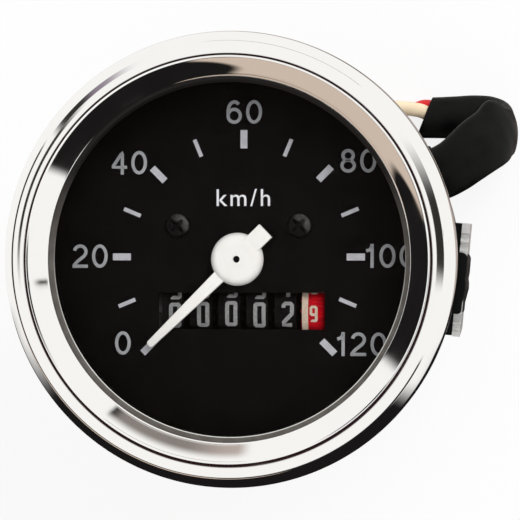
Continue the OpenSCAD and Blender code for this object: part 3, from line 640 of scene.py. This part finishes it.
# %% Chrome bezel
CHROME = Finish("bright_chrome", (0.92, 0.915, 0.905), 0.04, 1.0)
CHROME.gloss(0.025, 0.07, 6.0).patches((0.9, 0.9, 0.9), 9.0, 0.6)
seat, belly = 66.0, (25.4, 70.4)
bezel_outline = (
    [(30.6, seat), (32.0, seat)]
    + arc((32.0, seat + 1), 1.0, -90, -20, 6)
    + arc(belly, 8.0, -18, 10.2, 20)
    + arc((32.494, 71.65), 0.8, 12, 42, 10)
    + arc((31.575, 73.074), 0.6, 41, 68, 8)
    + arc((30.392, 69.993), 3.9, 69, 78, 12)
    + arc((29.8, 66.95), 7.0, 79, 89, 16)
    + arc((29.8, 72.95), 1.0, 90, 118, 16)
    + arc((18.51, 90.65), 20.0, -57.25, -65.5, 14)
    + [(26.72, 72.36), (26.72, 72.0), (26.85, 71.86), (27.4, 71.86), (29.4, 73.0),
       (31.2, 72.95)]
    + arc(belly, 7.4, 12, -18, 24)
    + [(32.2, 66.6), (30.6, 66.6)]
)
bezel = turned("bezel_chrome", bezel_outline, around=256, crease=28)
stand_for(bezel, "bezel_ring", CHROME)
print("bezel faces", len(bezel.data.polygons))

# %% [markdown]
# The seal is a rubber channel round the glass. Only its lip shows, as a narrow ring inside
# the funnel. Its colour is painted darker towards the top as painted shade, and on the lower
# half its inner edge is painted pale as a painted highlight. The glass is a flat disc with
# ground edges. Lamp light passes it unbent, so that the dial is lit as through thin glass.

# %% Glass and seal
SEAL = Finish("seal_rubber", (0.085, 0.075, 0.065), 0.3, specular=0.2)
SEAL.patches((0.12, 0.11, 0.1), 2.0, 0.8)
northward = SEAL.add("SeparateXYZ", {0: SEAL.place}, "Y")
flat = SEAL.add("VectorMath", {0: SEAL.place, 1: (1, 1, 0)}, operation="MULTIPLY")
away = SEAL.add("VectorMath", {0: flat}, "Value", operation="LENGTH")
highlight_edge = SEAL.spread(away, 1, 0, 0.02599, 0.02606)
highlight_half = SEAL.spread(northward, 1, 0, -0.016, 0.004)
# Painted shade: the seal's colour darkens towards the top.
SEAL.tint(SEAL.spread(northward, 0, 1, 0.001, 0.013), (0.006, 0.004, 0.004))
# Painted highlight: a pale line along the seal's inner edge on its lower half.
SEAL.tint(SEAL.times(highlight_edge, highlight_half), (0.62, 0.62, 0.58))
seal_outline = [
    (29.2, 67.7), (30.5, 67.7), (30.5, 71.75), (26.75, 71.75), (26.55, 71.72),
    (26.35, 71.66), (26.15, 71.57), (26.0, 71.47), (25.9, 71.43), (25.92, 71.4),
    (28.6, 71.4), (28.6, 69.8), (29.2, 69.8),
]
seal = turned("glass_seal", seal_outline, around=192, crease=40)
stand_for(seal, "lens_gasket", SEAL)

GLASS = Finish("clear_glass", (1, 1, 1), 0.0).set("Transmission Weight", 1.0).set("IOR", 1.46)
ray_is = GLASS.tree.nodes.new("ShaderNodeLightPath").outputs
lamp_light = {0: ray_is["Is Shadow Ray"], 1: ray_is["Is Diffuse Ray"]}
lamp_light = GLASS.add("Math", lamp_light, operation="MAXIMUM")
GLASS.hand_over(lamp_light, GLASS.add("BsdfTransparent", {}))
glass = turned(
    "glass_disc",
    [(0, 69.8), (28.4, 69.8), (28.58, 69.9), (28.58, 71.3), (28.4, 71.4), (0, 71.4)],
    crease=15, closed=False,
)
stand_for(glass, "lens_glass", GLASS)

# %% [markdown]
# The dial is a painted aluminium plate with a window for the counter. Its scale is printed
# in grey, with a white unit. A thin raised mesh keeps the print sharp at any distance. The
# marks sit about 22.3 degrees apart, each where it is seen. The figures are drawn as strokes
# of one width.

# %% Dial plate
DIAL = Finish("dial_black", (0.0024, 0.0023, 0.0022), 0.5, specular=0.05)
DIAL.patches((0.0046, 0.004, 0.0036), 4.0, 0.8).grain(0.12, 0.01, 0.25)
DIAL_TOP = 61.3


def cleaned(node, finish):
    """A copy of a construction part, its triangles merged and its curved faces smoothed."""
    piece = new_object(node + "_clean", frame["nodes"][node].data.copy())
    edit(piece)
    merge_points()
    face_outward()
    stand_for(settle(piece, 30), node, finish)


cleaned("dial_plate", DIAL)

INK, MARK_HALF = 0.03, 1.37


def ink(name, colour, other, size, amount):
    """A dull paint in two shades."""
    return Finish(name, colour, 0.6, specular=0.2).patches(other, size, amount)


PRINT_GREY = ink("scale_print", (0.52, 0.52, 0.55), (0.44, 0.435, 0.46), 1.2, 0.7)
PRINT_DIM = ink("numeral_print", (0.4, 0.405, 0.42), (0.31, 0.315, 0.325), 1.0, 0.7)
PRINT_WHITE = ink("unit_print", (0.8, 0.8, 0.82), (0.7, 0.7, 0.73), 1.0, 0.6)
FIGURE_GREY = ink("figure_grey", (0.3, 0.3, 0.3), (0.2, 0.2, 0.2), 0.4, 0.8)
FIGURE_CREAM = ink("figure_cream", (0.55, 0.42, 0.32), (0.62, 0.52, 0.42), 0.5, 0.8)


def mark(angle, away, turn, width):
    """One stroke of the scale with its middle at angle, away mm out, turned by turn."""
    x, y = swing([(away, 0)], angle)[0]
    bar = swing(strip(-MARK_HALF, MARK_HALF, width / 2), turn)
    return pressed("mark", [(x + dx, y + dy) for dx, dy in bar], DIAL_TOP, DIAL_TOP + INK)


# Where each mark's middle is seen: degrees, mm from the axis. Every second one is wide
MARKS = [
    (224, 18.9), (201.2, 18.2), (178.9, 17.75), (156.5, 17.6), (133.7, 17.55), (110.3, 17.7),
    (87.4, 17.93), (65.8, 18.2), (44.5, 18.2), (22.7, 18.15), (1.1, 17.62), (-21.4, 17.62),
    (-44.1, 18.8),
]
scale_marks = join("scale_marks", [
    mark(angle, away, 225 - 22.5 * step, 0.58 if step % 2 else 1.04)
    for step, (angle, away) in enumerate(MARKS)
])


def middle(piece, axis):
    """The middle of a piece along an axis."""
    places = [v.co[axis] for v in piece.data.vertices]
    return (min(places) + max(places)) / 2


def oval(x, y, rx, ry, start=0, end=360, steps=28):
    """Points of an oval or of a part of one, angles in degrees."""
    return [(x + rx * c, y + ry * s) for c, s in arc((0, 0), 1, start, end, steps)]


# Strokes of each figure on a grid one wide and two high
NUMERAL_STROKES = {
    "0": [oval(0.5, 1, 0.5, 1)],
    "1": [[(0.42, 1.5), (0.66, 1.58), (0.8, 1.78), (0.86, 2.0)], [(0.87, 2.17), (0.87, -0.17)]],
    "2": [oval(0.5, 1.45, 0.46, 0.55, 170, -25, 16)
          + [(0.8, 1.0), (0.55, 0.75), (0.25, 0.45), (0.06, 0.18), (0.0, 0.0)],
          [(-0.12, 0.0), (1.1, 0.0)]],
    "4": [[(0.72, -0.17), (0.72, 2.0), (0.0, 0.66), (0.0, 0.55), (1.1, 0.55)]],
    "6": [oval(0.52, 1.0, 0.5, 1.0, 48, 190, 16), oval(0.5, 0.63, 0.48, 0.63)],
    "8": [oval(0.5, 1.52, 0.4, 0.48), oval(0.5, 0.53, 0.48, 0.53)],
}


def strokes(name, paths, width, height, stroke):
    """A flat figure drawn as strokes, its middle at the origin, as a mesh."""
    curve = new_curve(name, stroke / 2 * MM, 1)
    for points in paths:
        spline = curve.splines.new("POLY")
        loop = dist(points[0], points[-1]) < 1e-6
        knots = [points[0]]
        for (xa, ya), (xb, yb) in zip(points, points[1:]):
            pieces = max(1, round(abs(yb - ya) / 0.2))
            knots += [
                (xa + (xb - xa) * k / pieces, ya + (yb - ya) * k / pieces)
                for k in range(1, pieces + 1)
            ]
        if loop:
            knots.pop()
        spline.points.add(len(knots) - 1)
        spline.use_cyclic_u = loop
        for knot, (x, y) in zip(spline.points, knots):
            knot.co = ((x - 0.5) * width * MM, (y / 2 - 0.5) * height * MM, 0, 1)
    pick(new_object(name, curve))
    bpy.ops.object.convert(target="MESH")
    return bpy.context.object


NUMERAL_SIZE, NUMERAL_PITCH = (1.92, 3.04, 0.49), 3.0


def numeral(words, right, up):
    """A number on the dial, its middle right and up mm from the axis."""
    digits = []
    for number, digit in enumerate(words):
        digits.append(strokes("digit", NUMERAL_STROKES[digit], *NUMERAL_SIZE))
        reshape(digits[-1], lambda x, y, z: (
            x + number * NUMERAL_PITCH * MM, y, z * 0.06 + (DIAL_TOP + 0.016) * MM))
    piece = join("number", digits)
    shift = right * MM - middle(piece, 0)
    reshape(piece, lambda x, y, z: (x + shift, y + up * MM, z))
    return settle(piece)


FIGURES = [
    ("0", -17.6, -12.6), ("20", -22.62, 0.45), ("40", -16.6, 14.48), ("60", 0.86, 21.98),
    ("80", 17.98, 14.62), ("100", 22.82, 0.5), ("120", 18.5, -12.6),
]
numerals = join("scale_numerals", [numeral(*figure) for figure in FIGURES])
# The unit is set in Blender's own typeface, whose figures are 0.729 of its size
UNIT_AT, UNIT_HEIGHT, FIGURE_SHARE = (0.72, 9.2), 2.66, 0.729
clear_selection()
bpy.ops.object.text_add(location=(0, 0, 0))
text = bpy.context.object.data
text.body = "km/h"
text.size = UNIT_HEIGHT * MM / FIGURE_SHARE
text.align_x = text.align_y = "CENTER"
text.offset = 0.01 * MM
text.space_character = 1.2
text.resolution_u = 6
bpy.ops.object.convert(target="MESH")
unit = bpy.context.object
unit.name = "scale_unit"
shift = [UNIT_AT[axis] * MM - middle(unit, axis) for axis in (0, 1)]
reshape(unit, lambda x, y, z: (x + shift[0], y + shift[1], DIAL_TOP * MM))
edit(unit)
merge_points(1e-7)
pull_up(INK)
face_outward()
settle(unit)
for piece, finish in ((scale_marks, PRINT_GREY), (numerals, PRINT_DIM), (unit, PRINT_WHITE)):
    show(piece, finish, "case")
print("figures printed:", len(FIGURES))

# %% [markdown]
# Two black screws hold the dial. Each head is turned first, and two crossed bars cut its
# recess. A painted highlight, a pale crescent on one side of each head's edge, is kept as an
# attribute of the head's vertices.

# %% Dial screws
BLACKENED = Finish("blackened_steel", (0.0035, 0.0035, 0.0033), 0.3, specular=0.06)
BLACKENED.patches((0.008, 0.008, 0.0075), 0.4, 1.0).gloss(0.2, 0.4, 0.8)
# Painted highlight: a pale crescent on one side of each screw head, read from its vertices.
glint_side = BLACKENED.add("Attribute", {}, "Fac", attribute_name="worn")
blotches = BLACKENED.spread(BLACKENED.noise(0.7), 0.3, 1.0)
BLACKENED.tint(BLACKENED.times(glint_side, blotches), (0.095, 0.095, 0.088))


def cut(piece, cutters, operation="DIFFERENCE"):
    """Cuts parts out of a part, or unites it with them, and removes them."""
    for cutter in cutters:
        modify(piece, "BOOLEAN", operation=operation, object=cutter, solver="EXACT")
        bpy.data.objects.remove(cutter)


# The last value is the direction, in radians, of the painted highlight on each screw head.
SCREW_ASIDE, SCREW_UP, GLINT_TOWARDS = 9.2, 5.0, 0.75
screws = []
for side in (-1, 1):
    head = turned(
        "screw",
        [(0, DIAL_TOP), (1.85, DIAL_TOP), (1.85, 61.55)] + arc((1.25, 61.55), 0.6, 0, 76, 10)
        + [(1.0, 62.17), (0.5, 62.23), (0, 62.25)],
        around=64, closed=False,
    )
    bars = [swing(strip(-1.15, 1.15, 0.25), turn) for turn in (45, 135)]
    cut(head, [pressed("bar", bar, 61.5, 63.0) for bar in bars])
    soften(head, 0.05, 2)
    # Each vertex on the head's edge gets a share of the painted highlight, most on one side.
    glint_edge = head.data.attributes.new("worn", "FLOAT", "POINT")
    for v, value in zip(head.data.vertices, glint_edge.data):
        away, toward = hypot(v.co.x, v.co.y) / MM, atan2(v.co.y, v.co.x)
        on_edge = 0.95 < away < 1.75
        value.value = max(0, cos(toward - GLINT_TOWARDS)) if on_edge else 0
    reshape(head, lambda x, y, z: (x + side * SCREW_ASIDE * MM, y + SCREW_UP * MM, z))
    screws.append(settle(head))
dial_screws = join("dial_screw_heads", screws)
stand_for(dial_screws, "dial_screws", BLACKENED)

# %% [markdown]
# The pointer is one moulding: a round hub with a soft edge, a slim arm that leaves it a
# little below its top and ends square, and a broad square tail level with the hub. The hub's
# hole shows dark because the spindle just below its face has a near-black finish, as
# painted shade.

# %% Pointer
POINTER = Finish("pointer_paint", (0.87, 0.845, 0.805), 0.42, specular=0.3)
POINTER.patches((0.9, 0.89, 0.86), 2.5, 0.8).gloss(0.35, 0.5, 1.5)
POINTER.grain(0.4, 0.008, 0.2)
hub = turned(
    "hub",
    [(0.52, 61.85), (3.2, 61.85), (3.75, 62.05), (3.95, 62.4)]
    + arc((2.85, 62.52), 1.1, 0, 86, 12)
    + [(2.0, 63.62), (0.52, 63.62)],
    crease=50,
)
REST = 224
arm = pressed(
    "arm",
    swing([(1.5, -1.05), (18.3, -0.57), (18.6, -0.35), (18.6, 0.35), (18.3, 0.57),
           (1.5, 1.05)], REST),
    62.35, 63.1, bevel=0.12,
)
tail = pressed("tail", swing(strip(-6.1, -2.0, 1.35), REST), 62.7, 63.6, bevel=0.05)
pointer = join("pointer_moulding", [hub, arm, tail])
stand_for(pointer, "pointer", POINTER)

# %% [markdown]
# The counter shows through the window: five black drums with grey figures and a red one with
# cream figures. The figures are narrow and boxy, so each is drawn as a few strokes on a small
# grid, given its width by a curve's bevel, pressed flat and laid round the drum. Ten figures
# go round, 36 degrees apart. The drums stand a degree or two apart, as on every counter.

# %% Drum figures
DRUM_BLACK = Finish("drum_black", (0.0035, 0.0035, 0.0035), 0.5, specular=0.06)
DRUM_BLACK.patches((0.006, 0.0055, 0.005), 1.0, 0.8)
DRUM_RED = Finish("drum_red", (0.5, 0.003, 0.008), 0.45, specular=0.1)
DRUM_RED.patches((0.3, 0.004, 0.012), 1.0, 0.8)
STROKES = {
    "0": [[(0.12, 0), (0.88, 0), (1, 0.08), (1, 1.92), (0.88, 2), (0.12, 2), (0, 1.92),
           (0, 0.08), (0.12, 0)]],
    "1": [[(0.2, 1.7), (0.5, 2), (0.5, 0)]],
    "2": [[(0, 1.6), (0, 1.85), (0.2, 2), (0.8, 2), (1, 1.85), (1, 1.05), (0, 0.25), (0, 0),
           (1, 0)]],
    "3": [[(0, 1.8), (0.2, 2), (0.8, 2), (1, 1.85), (1, 1.25), (0.75, 1.05), (0.4, 1.05)],
          [(0.75, 1.05), (1, 0.85), (1, 0.15), (0.8, 0), (0.2, 0), (0, 0.2)]],
    "4": [[(0.75, 0), (0.75, 2), (0, 0.6), (1, 0.6)]],
    "5": [[(1, 2), (0, 2), (0, 1.1), (0.75, 1.15), (1, 0.95), (1, 0.15), (0.8, 0), (0.2, 0),
           (0, 0.2)]],
    "6": [[(1, 1.75), (0.8, 2), (0.2, 2), (0, 1.85), (0, 0.15), (0.2, 0), (0.8, 0),
           (1, 0.15), (1, 0.95), (0.8, 1.1), (0, 1.1)]],
    "7": [[(0, 2), (1, 2), (0.4, 0)]],
    "8": [[(0.2, 1.05), (0, 1.2), (0, 1.85), (0.2, 2), (0.8, 2), (1, 1.85), (1, 1.2),
           (0.8, 1.05), (0.2, 1.05), (0, 0.9), (0, 0.15), (0.2, 0), (0.8, 0), (1, 0.15),
           (1, 0.9), (0.8, 1.05)]],
    "9": [[(0.05, 0.08), (0.12, 0.03), (0.88, 0.03), (1, 0.12), (1, 1.85), (0.8, 2), (0.2, 2),
           (0, 1.85), (0, 1.05), (0.2, 0.9), (1, 0.9)]],
}
DRUM_R, DRUM_Y, DRUM_Z, DRUM_PITCH = 6.8, -8.0, 53.6, 4.27
FIRST_DRUM = 0.5 - 2.5 * DRUM_PITCH
# Width, height and stroke of the figures, and how far right of the drum's middle they stand
BLACK_FIGURES, RED_FIGURES = ((1.26, 3.24, 0.6), 0.38), ((0.8, 2.1, 0.42), 0.0)
# The figure in the window on each drum at rest, and how many degrees it is off the middle
DRUM_REST = {
    1: (0, -3.7), 2: (0, -2.5), 3: (0, -1.4), 4: (0, -2.9), 5: (2, -1.9), 6: (9, -1.4),
}


def printed_drum(number, shown, slip, finish):
    """Ten figures round one drum, the one that shows being slip degrees off the middle."""
    size, aside = RED_FIGURES if number == 6 else BLACK_FIGURES
    x = (FIRST_DRUM + (number - 1) * DRUM_PITCH + aside) * MM
    figures = []
    for digit in range(10):
        piece = strokes("figure", STROKES[str(digit)], *size)
        ahead = radians(-36 * (digit - shown) + slip)
        for v in piece.data.vertices:
            turn = ahead + v.co.y / (DRUM_R * MM)
            out = (DRUM_R + 0.012) * MM + v.co.z * 0.05
            y, z = DRUM_Y * MM + out * sin(turn), DRUM_Z * MM + out * cos(turn)
            v.co = Vector((v.co.x + x, y, z))
        figures.append(piece)
    piece = join("drum_%d_figures" % number, figures)
    show(settle(piece, 60), finish, "drum_%d_set" % number)


for number, (shown, slip) in DRUM_REST.items():
    printed_drum(number, shown, slip, FIGURE_CREAM if number == 6 else FIGURE_GREY)
for number in DRUM_REST:
    cleaned("drum_%d" % number, DRUM_RED if number == 6 else DRUM_BLACK)
RIM_WIDTH = 0.92
rim_left = FIRST_DRUM + 5 * DRUM_PITCH - 1.75
red_rim = turned(
    "drum_6_rim", [(6.79, 0), (6.83, 0), (6.83, RIM_WIDTH), (6.79, RIM_WIDTH)], around=96,
)
red_rim.matrix_world = (
    Matrix.Translation(Vector((rim_left, DRUM_Y, DRUM_Z)) * MM)
    @ Matrix.Rotation(radians(90), 4, "Y")
)
show(settle(red_rim), FIGURE_CREAM, "drum_6_set")

# %% [markdown]
# The movement behind the dial keeps the construction model's exact shapes, because its worms,
# wheels and pinions have to mesh. Each part is copied, its loose triangles are merged into
# one mesh, and its curved faces smoothed.

# %% Finishes behind the dial, and the movement
CASE = Finish("case_black", (0.014, 0.014, 0.015), 0.32)
CASE.gloss(0.25, 0.42, 2.5).patches((0.02, 0.019, 0.018), 4.0)
CASE.grain(0.5, 0.015, 0.3)
ZINC = Finish("zinc_plate", (0.92, 0.92, 0.91), 0.36, 0.92)
ZINC.gloss(0.26, 0.44, 1.6).patches((0.84, 0.85, 0.86), 3.0, 0.7)
STEEL = Finish("turned_steel", (0.56, 0.56, 0.57), 0.3, 1.0)
STEEL.gloss(0.2, 0.4, 1.5).patches((0.48, 0.48, 0.5), 1.5)
CUP = Finish("cup_aluminium", (0.8, 0.81, 0.82), 0.3, 1.0)
CUP.gloss(0.22, 0.4, 1.2).patches((0.7, 0.71, 0.72), 1.5)
CAST = Finish("die_cast", (0.46, 0.46, 0.45), 0.5, 1.0)
CAST.gloss(0.42, 0.6, 1.0).patches((0.38, 0.38, 0.37), 2.0).grain(0.3, 0.03, 0.5)
BRASS = Finish("turned_brass", (0.72, 0.5, 0.22), 0.28, 1.0)
BRASS.gloss(0.2, 0.38, 1.2).patches((0.6, 0.4, 0.18), 1.2)
MAGNET = Finish("magnet", (0.09, 0.09, 0.095), 0.6, 0.6)
MAGNET.patches((0.06, 0.06, 0.062), 1.0).grain(0.2, 0.02, 0.5)
NYLON = Finish("nylon", (0.8, 0.78, 0.7), 0.45)
NYLON.gloss(0.38, 0.55, 0.8).patches((0.72, 0.69, 0.6), 1.0).grain(0.3, 0.01, 0.3)
RUBBER = Finish("black_rubber", (0.003, 0.0033, 0.0033), 0.45, specular=0.08)
RUBBER.gloss(0.38, 0.6, 1.5).patches((0.006, 0.006, 0.0055), 1.5)
RUBBER.grain(0.3, 0.03, 0.5)
BULB = Finish("bulb_glass", (1, 1, 1), 0.0)
BULB.set("Transmission Weight", 1.0).gloss(0.0, 0.04, 1.0)
MOVEMENT = (
    (CAST, "movement_base movement_top"),
    (ZINC, "movement_screws counter_cheek_left counter_cheek_right"),
    (STEEL, "counter_shaft transfer_shaft"), (BRASS, "spindle_bush drive_bush bulb_cap"),
    (BULB, "bulb_glass"), (BRASS, "spring_stud"), (STEEL, "hairspring"),
    # The pointer spindle is near-black as painted shade, so that the hub's hole reads dark.
    (BLACKENED, "pointer_spindle"), (CUP, "drag_cup"), (BRASS, "spring_collet"),
    (STEEL, "drive_spindle"), (MAGNET, "magnet"), (ZINC, "field_cup"), (BRASS, "drive_worm"),
    (STEEL, "cross_shaft"), (BRASS, "cross_wheel cross_worm"), (STEEL, "upright_shaft"),
    (BRASS, "upright_wheel upright_worm drum_wheel"),
    (NYLON, " ".join("transfer_pinion_%d" % number for number in range(1, 6))),
)
for finish, nodes in MOVEMENT:
    for node in nodes.split():
        cleaned(node, finish)
    print(finish.material.name, "on", nodes)

# %% [markdown]
# The outside behind the bezel is plain metalwork. The case is a drawn cup with holes through
# its back. Threads are pressed into turned parts by moving points in along a helix. The
# bracket is one plate: its legs are united with its back, its notches cut, its edges rounded.

# %% Case, nozzle and studs
def drill(piece, holes):
    """Cuts upright round holes through a part, (x, y, radius) each."""
    cutters = []
    for x, y, radius in holes:
        clear_selection()
        bpy.ops.mesh.primitive_cylinder_add(
            vertices=64, radius=radius * MM, depth=0.05, location=(x * MM, y * MM, 0.02)
        )
        cutters.append(bpy.context.object)
    cut(piece, cutters)


def press_thread(piece, centre, radius, low, high, pitch):
    """Presses a screw thread into a turned part, from height low to height high."""
    for v in piece.data.vertices:
        x, y, z = v.co.x / MM - centre[0], v.co.y / MM - centre[1], v.co.z / MM
        if abs(hypot(x, y) - radius) > 0.01 or not low < z < high:
            continue
        wave = abs((z / pitch - atan2(y, x) / tau) % 1 - 0.5) * 2
        runout = min(1, (z - low) / pitch, (high - z) / pitch)
        share = 1 - 0.6 * pitch * min(1, wave * 1.15) * runout / radius
        v.co.x, v.co.y = (centre[0] + x * share) * MM, (centre[1] + y * share) * MM
    piece.data.update()


STUD_TURN, STUD_R = -5.4, 19
STUDS = [swing([(STUD_R, 0)], STUD_TURN + half)[0] for half in (0, 180)]
HOLDER_AT = (15.5, 15.5)
case_cup = turned(
    "case_cup",
    [(0, 20), (26.7, 20), (27, 20)] + arc((27, 23), 3, -90, 0, 12)
    + [(30, 23.3), (30, 66.6), (30, 66.9), (31.5, 66.9), (31.5, 67.7), (29.2, 67.7)]
    + [(29.2, 23.3)] + arc((27, 23), 2.2, 0, -90, 10) + [(26.7, 20.8), (0, 20.8)],
    around=160, closed=False,
)
drill(case_cup, [(0, 0, 5), (*HOLDER_AT, 4.8)] + [(x, y, 2) for x, y in STUDS])
settle(case_cup)

nozzle = turned(
    "nozzle_turned",
    [(4.2, 0), (5.4, 0), (6, 0.5)] + [(6, 0.6 + 0.1 * k) for k in range(115)]
    + [(5.4, 12.4), (5.4, 13.4), (7, 13.8), (7, 18.2), (8.1, 18.2), (8.2, 18.3), (8.2, 20),
       (5, 20), (5, 22.8), (2.6, 22.8), (2.6, 14.4), (3.2, 14.4), (3.2, 7), (4.2, 7)],
    around=144,
)
press_thread(nozzle, (0, 0), 6, 0.5, 12.2, 1.0)

studs = []
for place in STUDS:
    stud = turned(
        "stud",
        [(0, 0), (2.1, 0), (2.5, 0.4)] + [(2.5, 0.5 + 0.1 * k) for k in range(178)]
        + [(4.1, 18.2), (4.2, 18.3), (4.2, 20), (2, 20), (2, 22.6), (1.8, 22.8), (0, 22.8)],
        around=64, centre=place, closed=False,
    )
    press_thread(stud, place, 2.5, 0.4, 17.6, 0.8)
    studs.append(stud)
studs = join("studs_threaded", studs)

# %% Washers and nuts
washers, nuts = [], []
for place in STUDS:
    washers.append(turned(
        "washer",
        [(2.7, 16.05), (2.75, 16), (4.9, 16), (5, 16.1), (5, 16.9), (4.9, 17), (2.75, 17),
         (2.7, 16.95)],
        around=64, centre=place,
    ))
    hexagon = arc((STUD_R, 0), 8 / sqrt(3), 0, 300, 5)
    nut = pressed("nut", hexagon, 12, 16)
    chamfer = turned(
        "chamfer", [(0, 11.99), (4, 11.99), (4.7, 12.5), (4.7, 16.5), (0, 16.5)],
        around=96, centre=(STUD_R, 0), closed=False,
    )
    cut(nut, [chamfer], "INTERSECT")
    drill(nut, [(STUD_R, 0, 2.45)])
    soften(nut, 0.08, 2, 25)
    nut.matrix_world = Matrix.Rotation(atan2(place[1], place[0]), 4, "Z")
    nuts.append(settle(nut))
washers = join("washers_turned", washers)
nuts = join("nuts_hexagon", nuts)

# %% Bracket
LEAN = radians(3.7)
SLIM = 1.2 / cos(LEAN)
LEG_TOP, BACK, STRAP = 57, 28.2, 8.5


def leg_x(z):
    """The leg's outer face at height z."""
    rise = z - 20 + 3 * sin(LEAN)
    return BACK + 3 * cos(LEAN) + rise * tan(LEAN)


def upright(name, outline, low, high, bevel=0.0):
    """A plate drawn in X and Z, reaching from low to high across Y."""
    piece = pressed(name, outline, -high, -low, bevel)
    reshape(piece, lambda x, y, z: (x, -z, y))
    return piece


back_outline = (
    [(BACK, -STRAP), (BACK, STRAP)] + arc((0, 0), 13, 40.83, 139.17, 36)
    + [(-BACK, STRAP), (-BACK, -STRAP)]
    + arc((0, 0), 13, 220.83, 319.17, 36)
)
bracket = pressed("bracket_bent", back_outline, 17, 18.2)
legs, notches = [], []
NOTCH = 0.566
tip = leg_x(LEG_TOP)
for side in (1, -1):
    leg_outline = (
        arc((BACK, 20), 3, -90, -3.7, 12) + [(tip, LEG_TOP), (tip - SLIM, LEG_TOP)]
        + arc((BACK, 20), 1.8, -3.7, -90, 12)
    )
    legs.append(upright("leg", [(side * x, z) for x, z in leg_outline], -STRAP, STRAP))
    for y in (-7.2, -5.8, 5.0, 6.4):
        notch = pressed("notch", [(y + dy, LEG_TOP + dz) for dy, dz in (
            (NOTCH, 0), (0, NOTCH), (-NOTCH, 0), (0, -NOTCH))], -4, 4)
        reshape(notch, lambda x, y, z: (z + side * tip * MM, x, y))
        notches.append(notch)
cut(bracket, legs, "UNION")
cut(bracket, notches)
drill(bracket, [(0, 0, 8.7), (STUD_R, 0, 2.8), (-STUD_R, 0, 2.8)])
soften(bracket, 0.12, 2)
bracket.matrix_world = Matrix.Rotation(radians(STUD_TURN), 4, "Z")
settle(bracket)
print("bracket faces", len(bracket.data.polygons))

# %% [markdown]
# The rubber parts are soft moulded shapes with round edges: a lining between each leg and the
# case with a cap pulled over the leg's end, and the boot on the bulb holder, whose neck
# narrows from a round to the sleeve's flat oval.

# %% Buffers and boot
pads = []
for half in (0, 180):
    lining = upright(
        "lining",
        [(30.4, 45), (leg_x(45) - SLIM, 45), (leg_x(56.4) - SLIM, 56.4), (30.4, 56.4)],
        -8.4, 8.4, bevel=0.15,
    )
    cap = pressed(
        "cap",
        arc((32.75, 3.1), 1, 90, 5, 8)
        + [(33.76, 1.2), (33.68, 0.2), (33.82, -0.5), (33.86, -1.3), (33.68, -2.4),
           (33.5, -3.4)]
        + arc((32.9, -4.5), 0.6, 0, -90, 6) + [(30.4, -5.1), (30.4, 4.1)],
        50.5, 57.8, bevel=0.22,
    )
    leg_end = upright(
        "leg_end",
        [(leg_x(40) - SLIM, 40), (leg_x(40), 40), (tip, LEG_TOP), (tip - SLIM, LEG_TOP)],
        -15, 15,
    )
    cut(cap, [leg_end])
    pad = join("pad", [lining, cap])
    pad.matrix_world = Matrix.Rotation(radians(STUD_TURN + half), 4, "Z")
    pads.append(settle(pad, 50))
pads = join("pads_moulded", pads)

boot = turned(
    "boot_moulded",
    [(0, 10.6), (5.2, 10.6), (5.8, 10.8), (6.2, 11.4), (6.2, 18.1), (6.0, 18.5), (5.7, 18.6),
     (0, 18.6)],
    around=96, centre=HOLDER_AT, closed=False,
)


def circle(radius, place=(0, 0, 0)):
    clear_selection()
    place = [c * MM for c in place]
    bpy.ops.mesh.primitive_circle_add(vertices=64, radius=radius * MM, location=place)
    return bpy.context.object


rings = [settle(circle(5.2, (*HOLDER_AT, z))) for z in (10.8, 16.4)]
*sleeve_start, _, _, sleeve_turn = SLEEVE_ROUTE[0]
for along in (-0.4, 0.0):
    ring = circle(5.4)
    reshape(ring, lambda x, y, z: (along * MM, x, y / 2))
    to_sleeve = Matrix.Rotation(radians(sleeve_turn - 90), 4, "Z")
    ring.matrix_world = Matrix.Translation(Vector(sleeve_start) * MM) @ to_sleeve
    rings.append(settle(ring))
neck = join("neck", rings)
edit(neck)
bpy.ops.mesh.convex_hull()
face_outward()
cut(boot, [neck], "UNION")
settle(boot, 30)

holder = turned(
    "holder_drawn",
    [(0, 18.6), (5.9, 18.6), (6, 18.7), (6, 19.9), (5.9, 20), (4.8, 20), (4.8, 33.8),
     (4.7, 34), (4.5, 34), (4.5, 24.5), (0, 24.5)],
    around=96, centre=HOLDER_AT, closed=False,
)
for piece, node, finish in (
    (case_cup, "case_shell", CASE), (nozzle, "cable_nozzle", ZINC),
    (studs, "mounting_studs", ZINC), (washers, "stud_washers", ZINC),
    (nuts, "stud_nuts", ZINC), (bracket, "mounting_bracket", ZINC),
    (pads, "bracket_pads", RUBBER), (boot, "lead_boot", RUBBER),
    (holder, "bulb_holder", STEEL),
):
    stand_for(piece, node, finish)
    print(piece.name, len(piece.data.polygons), "faces")
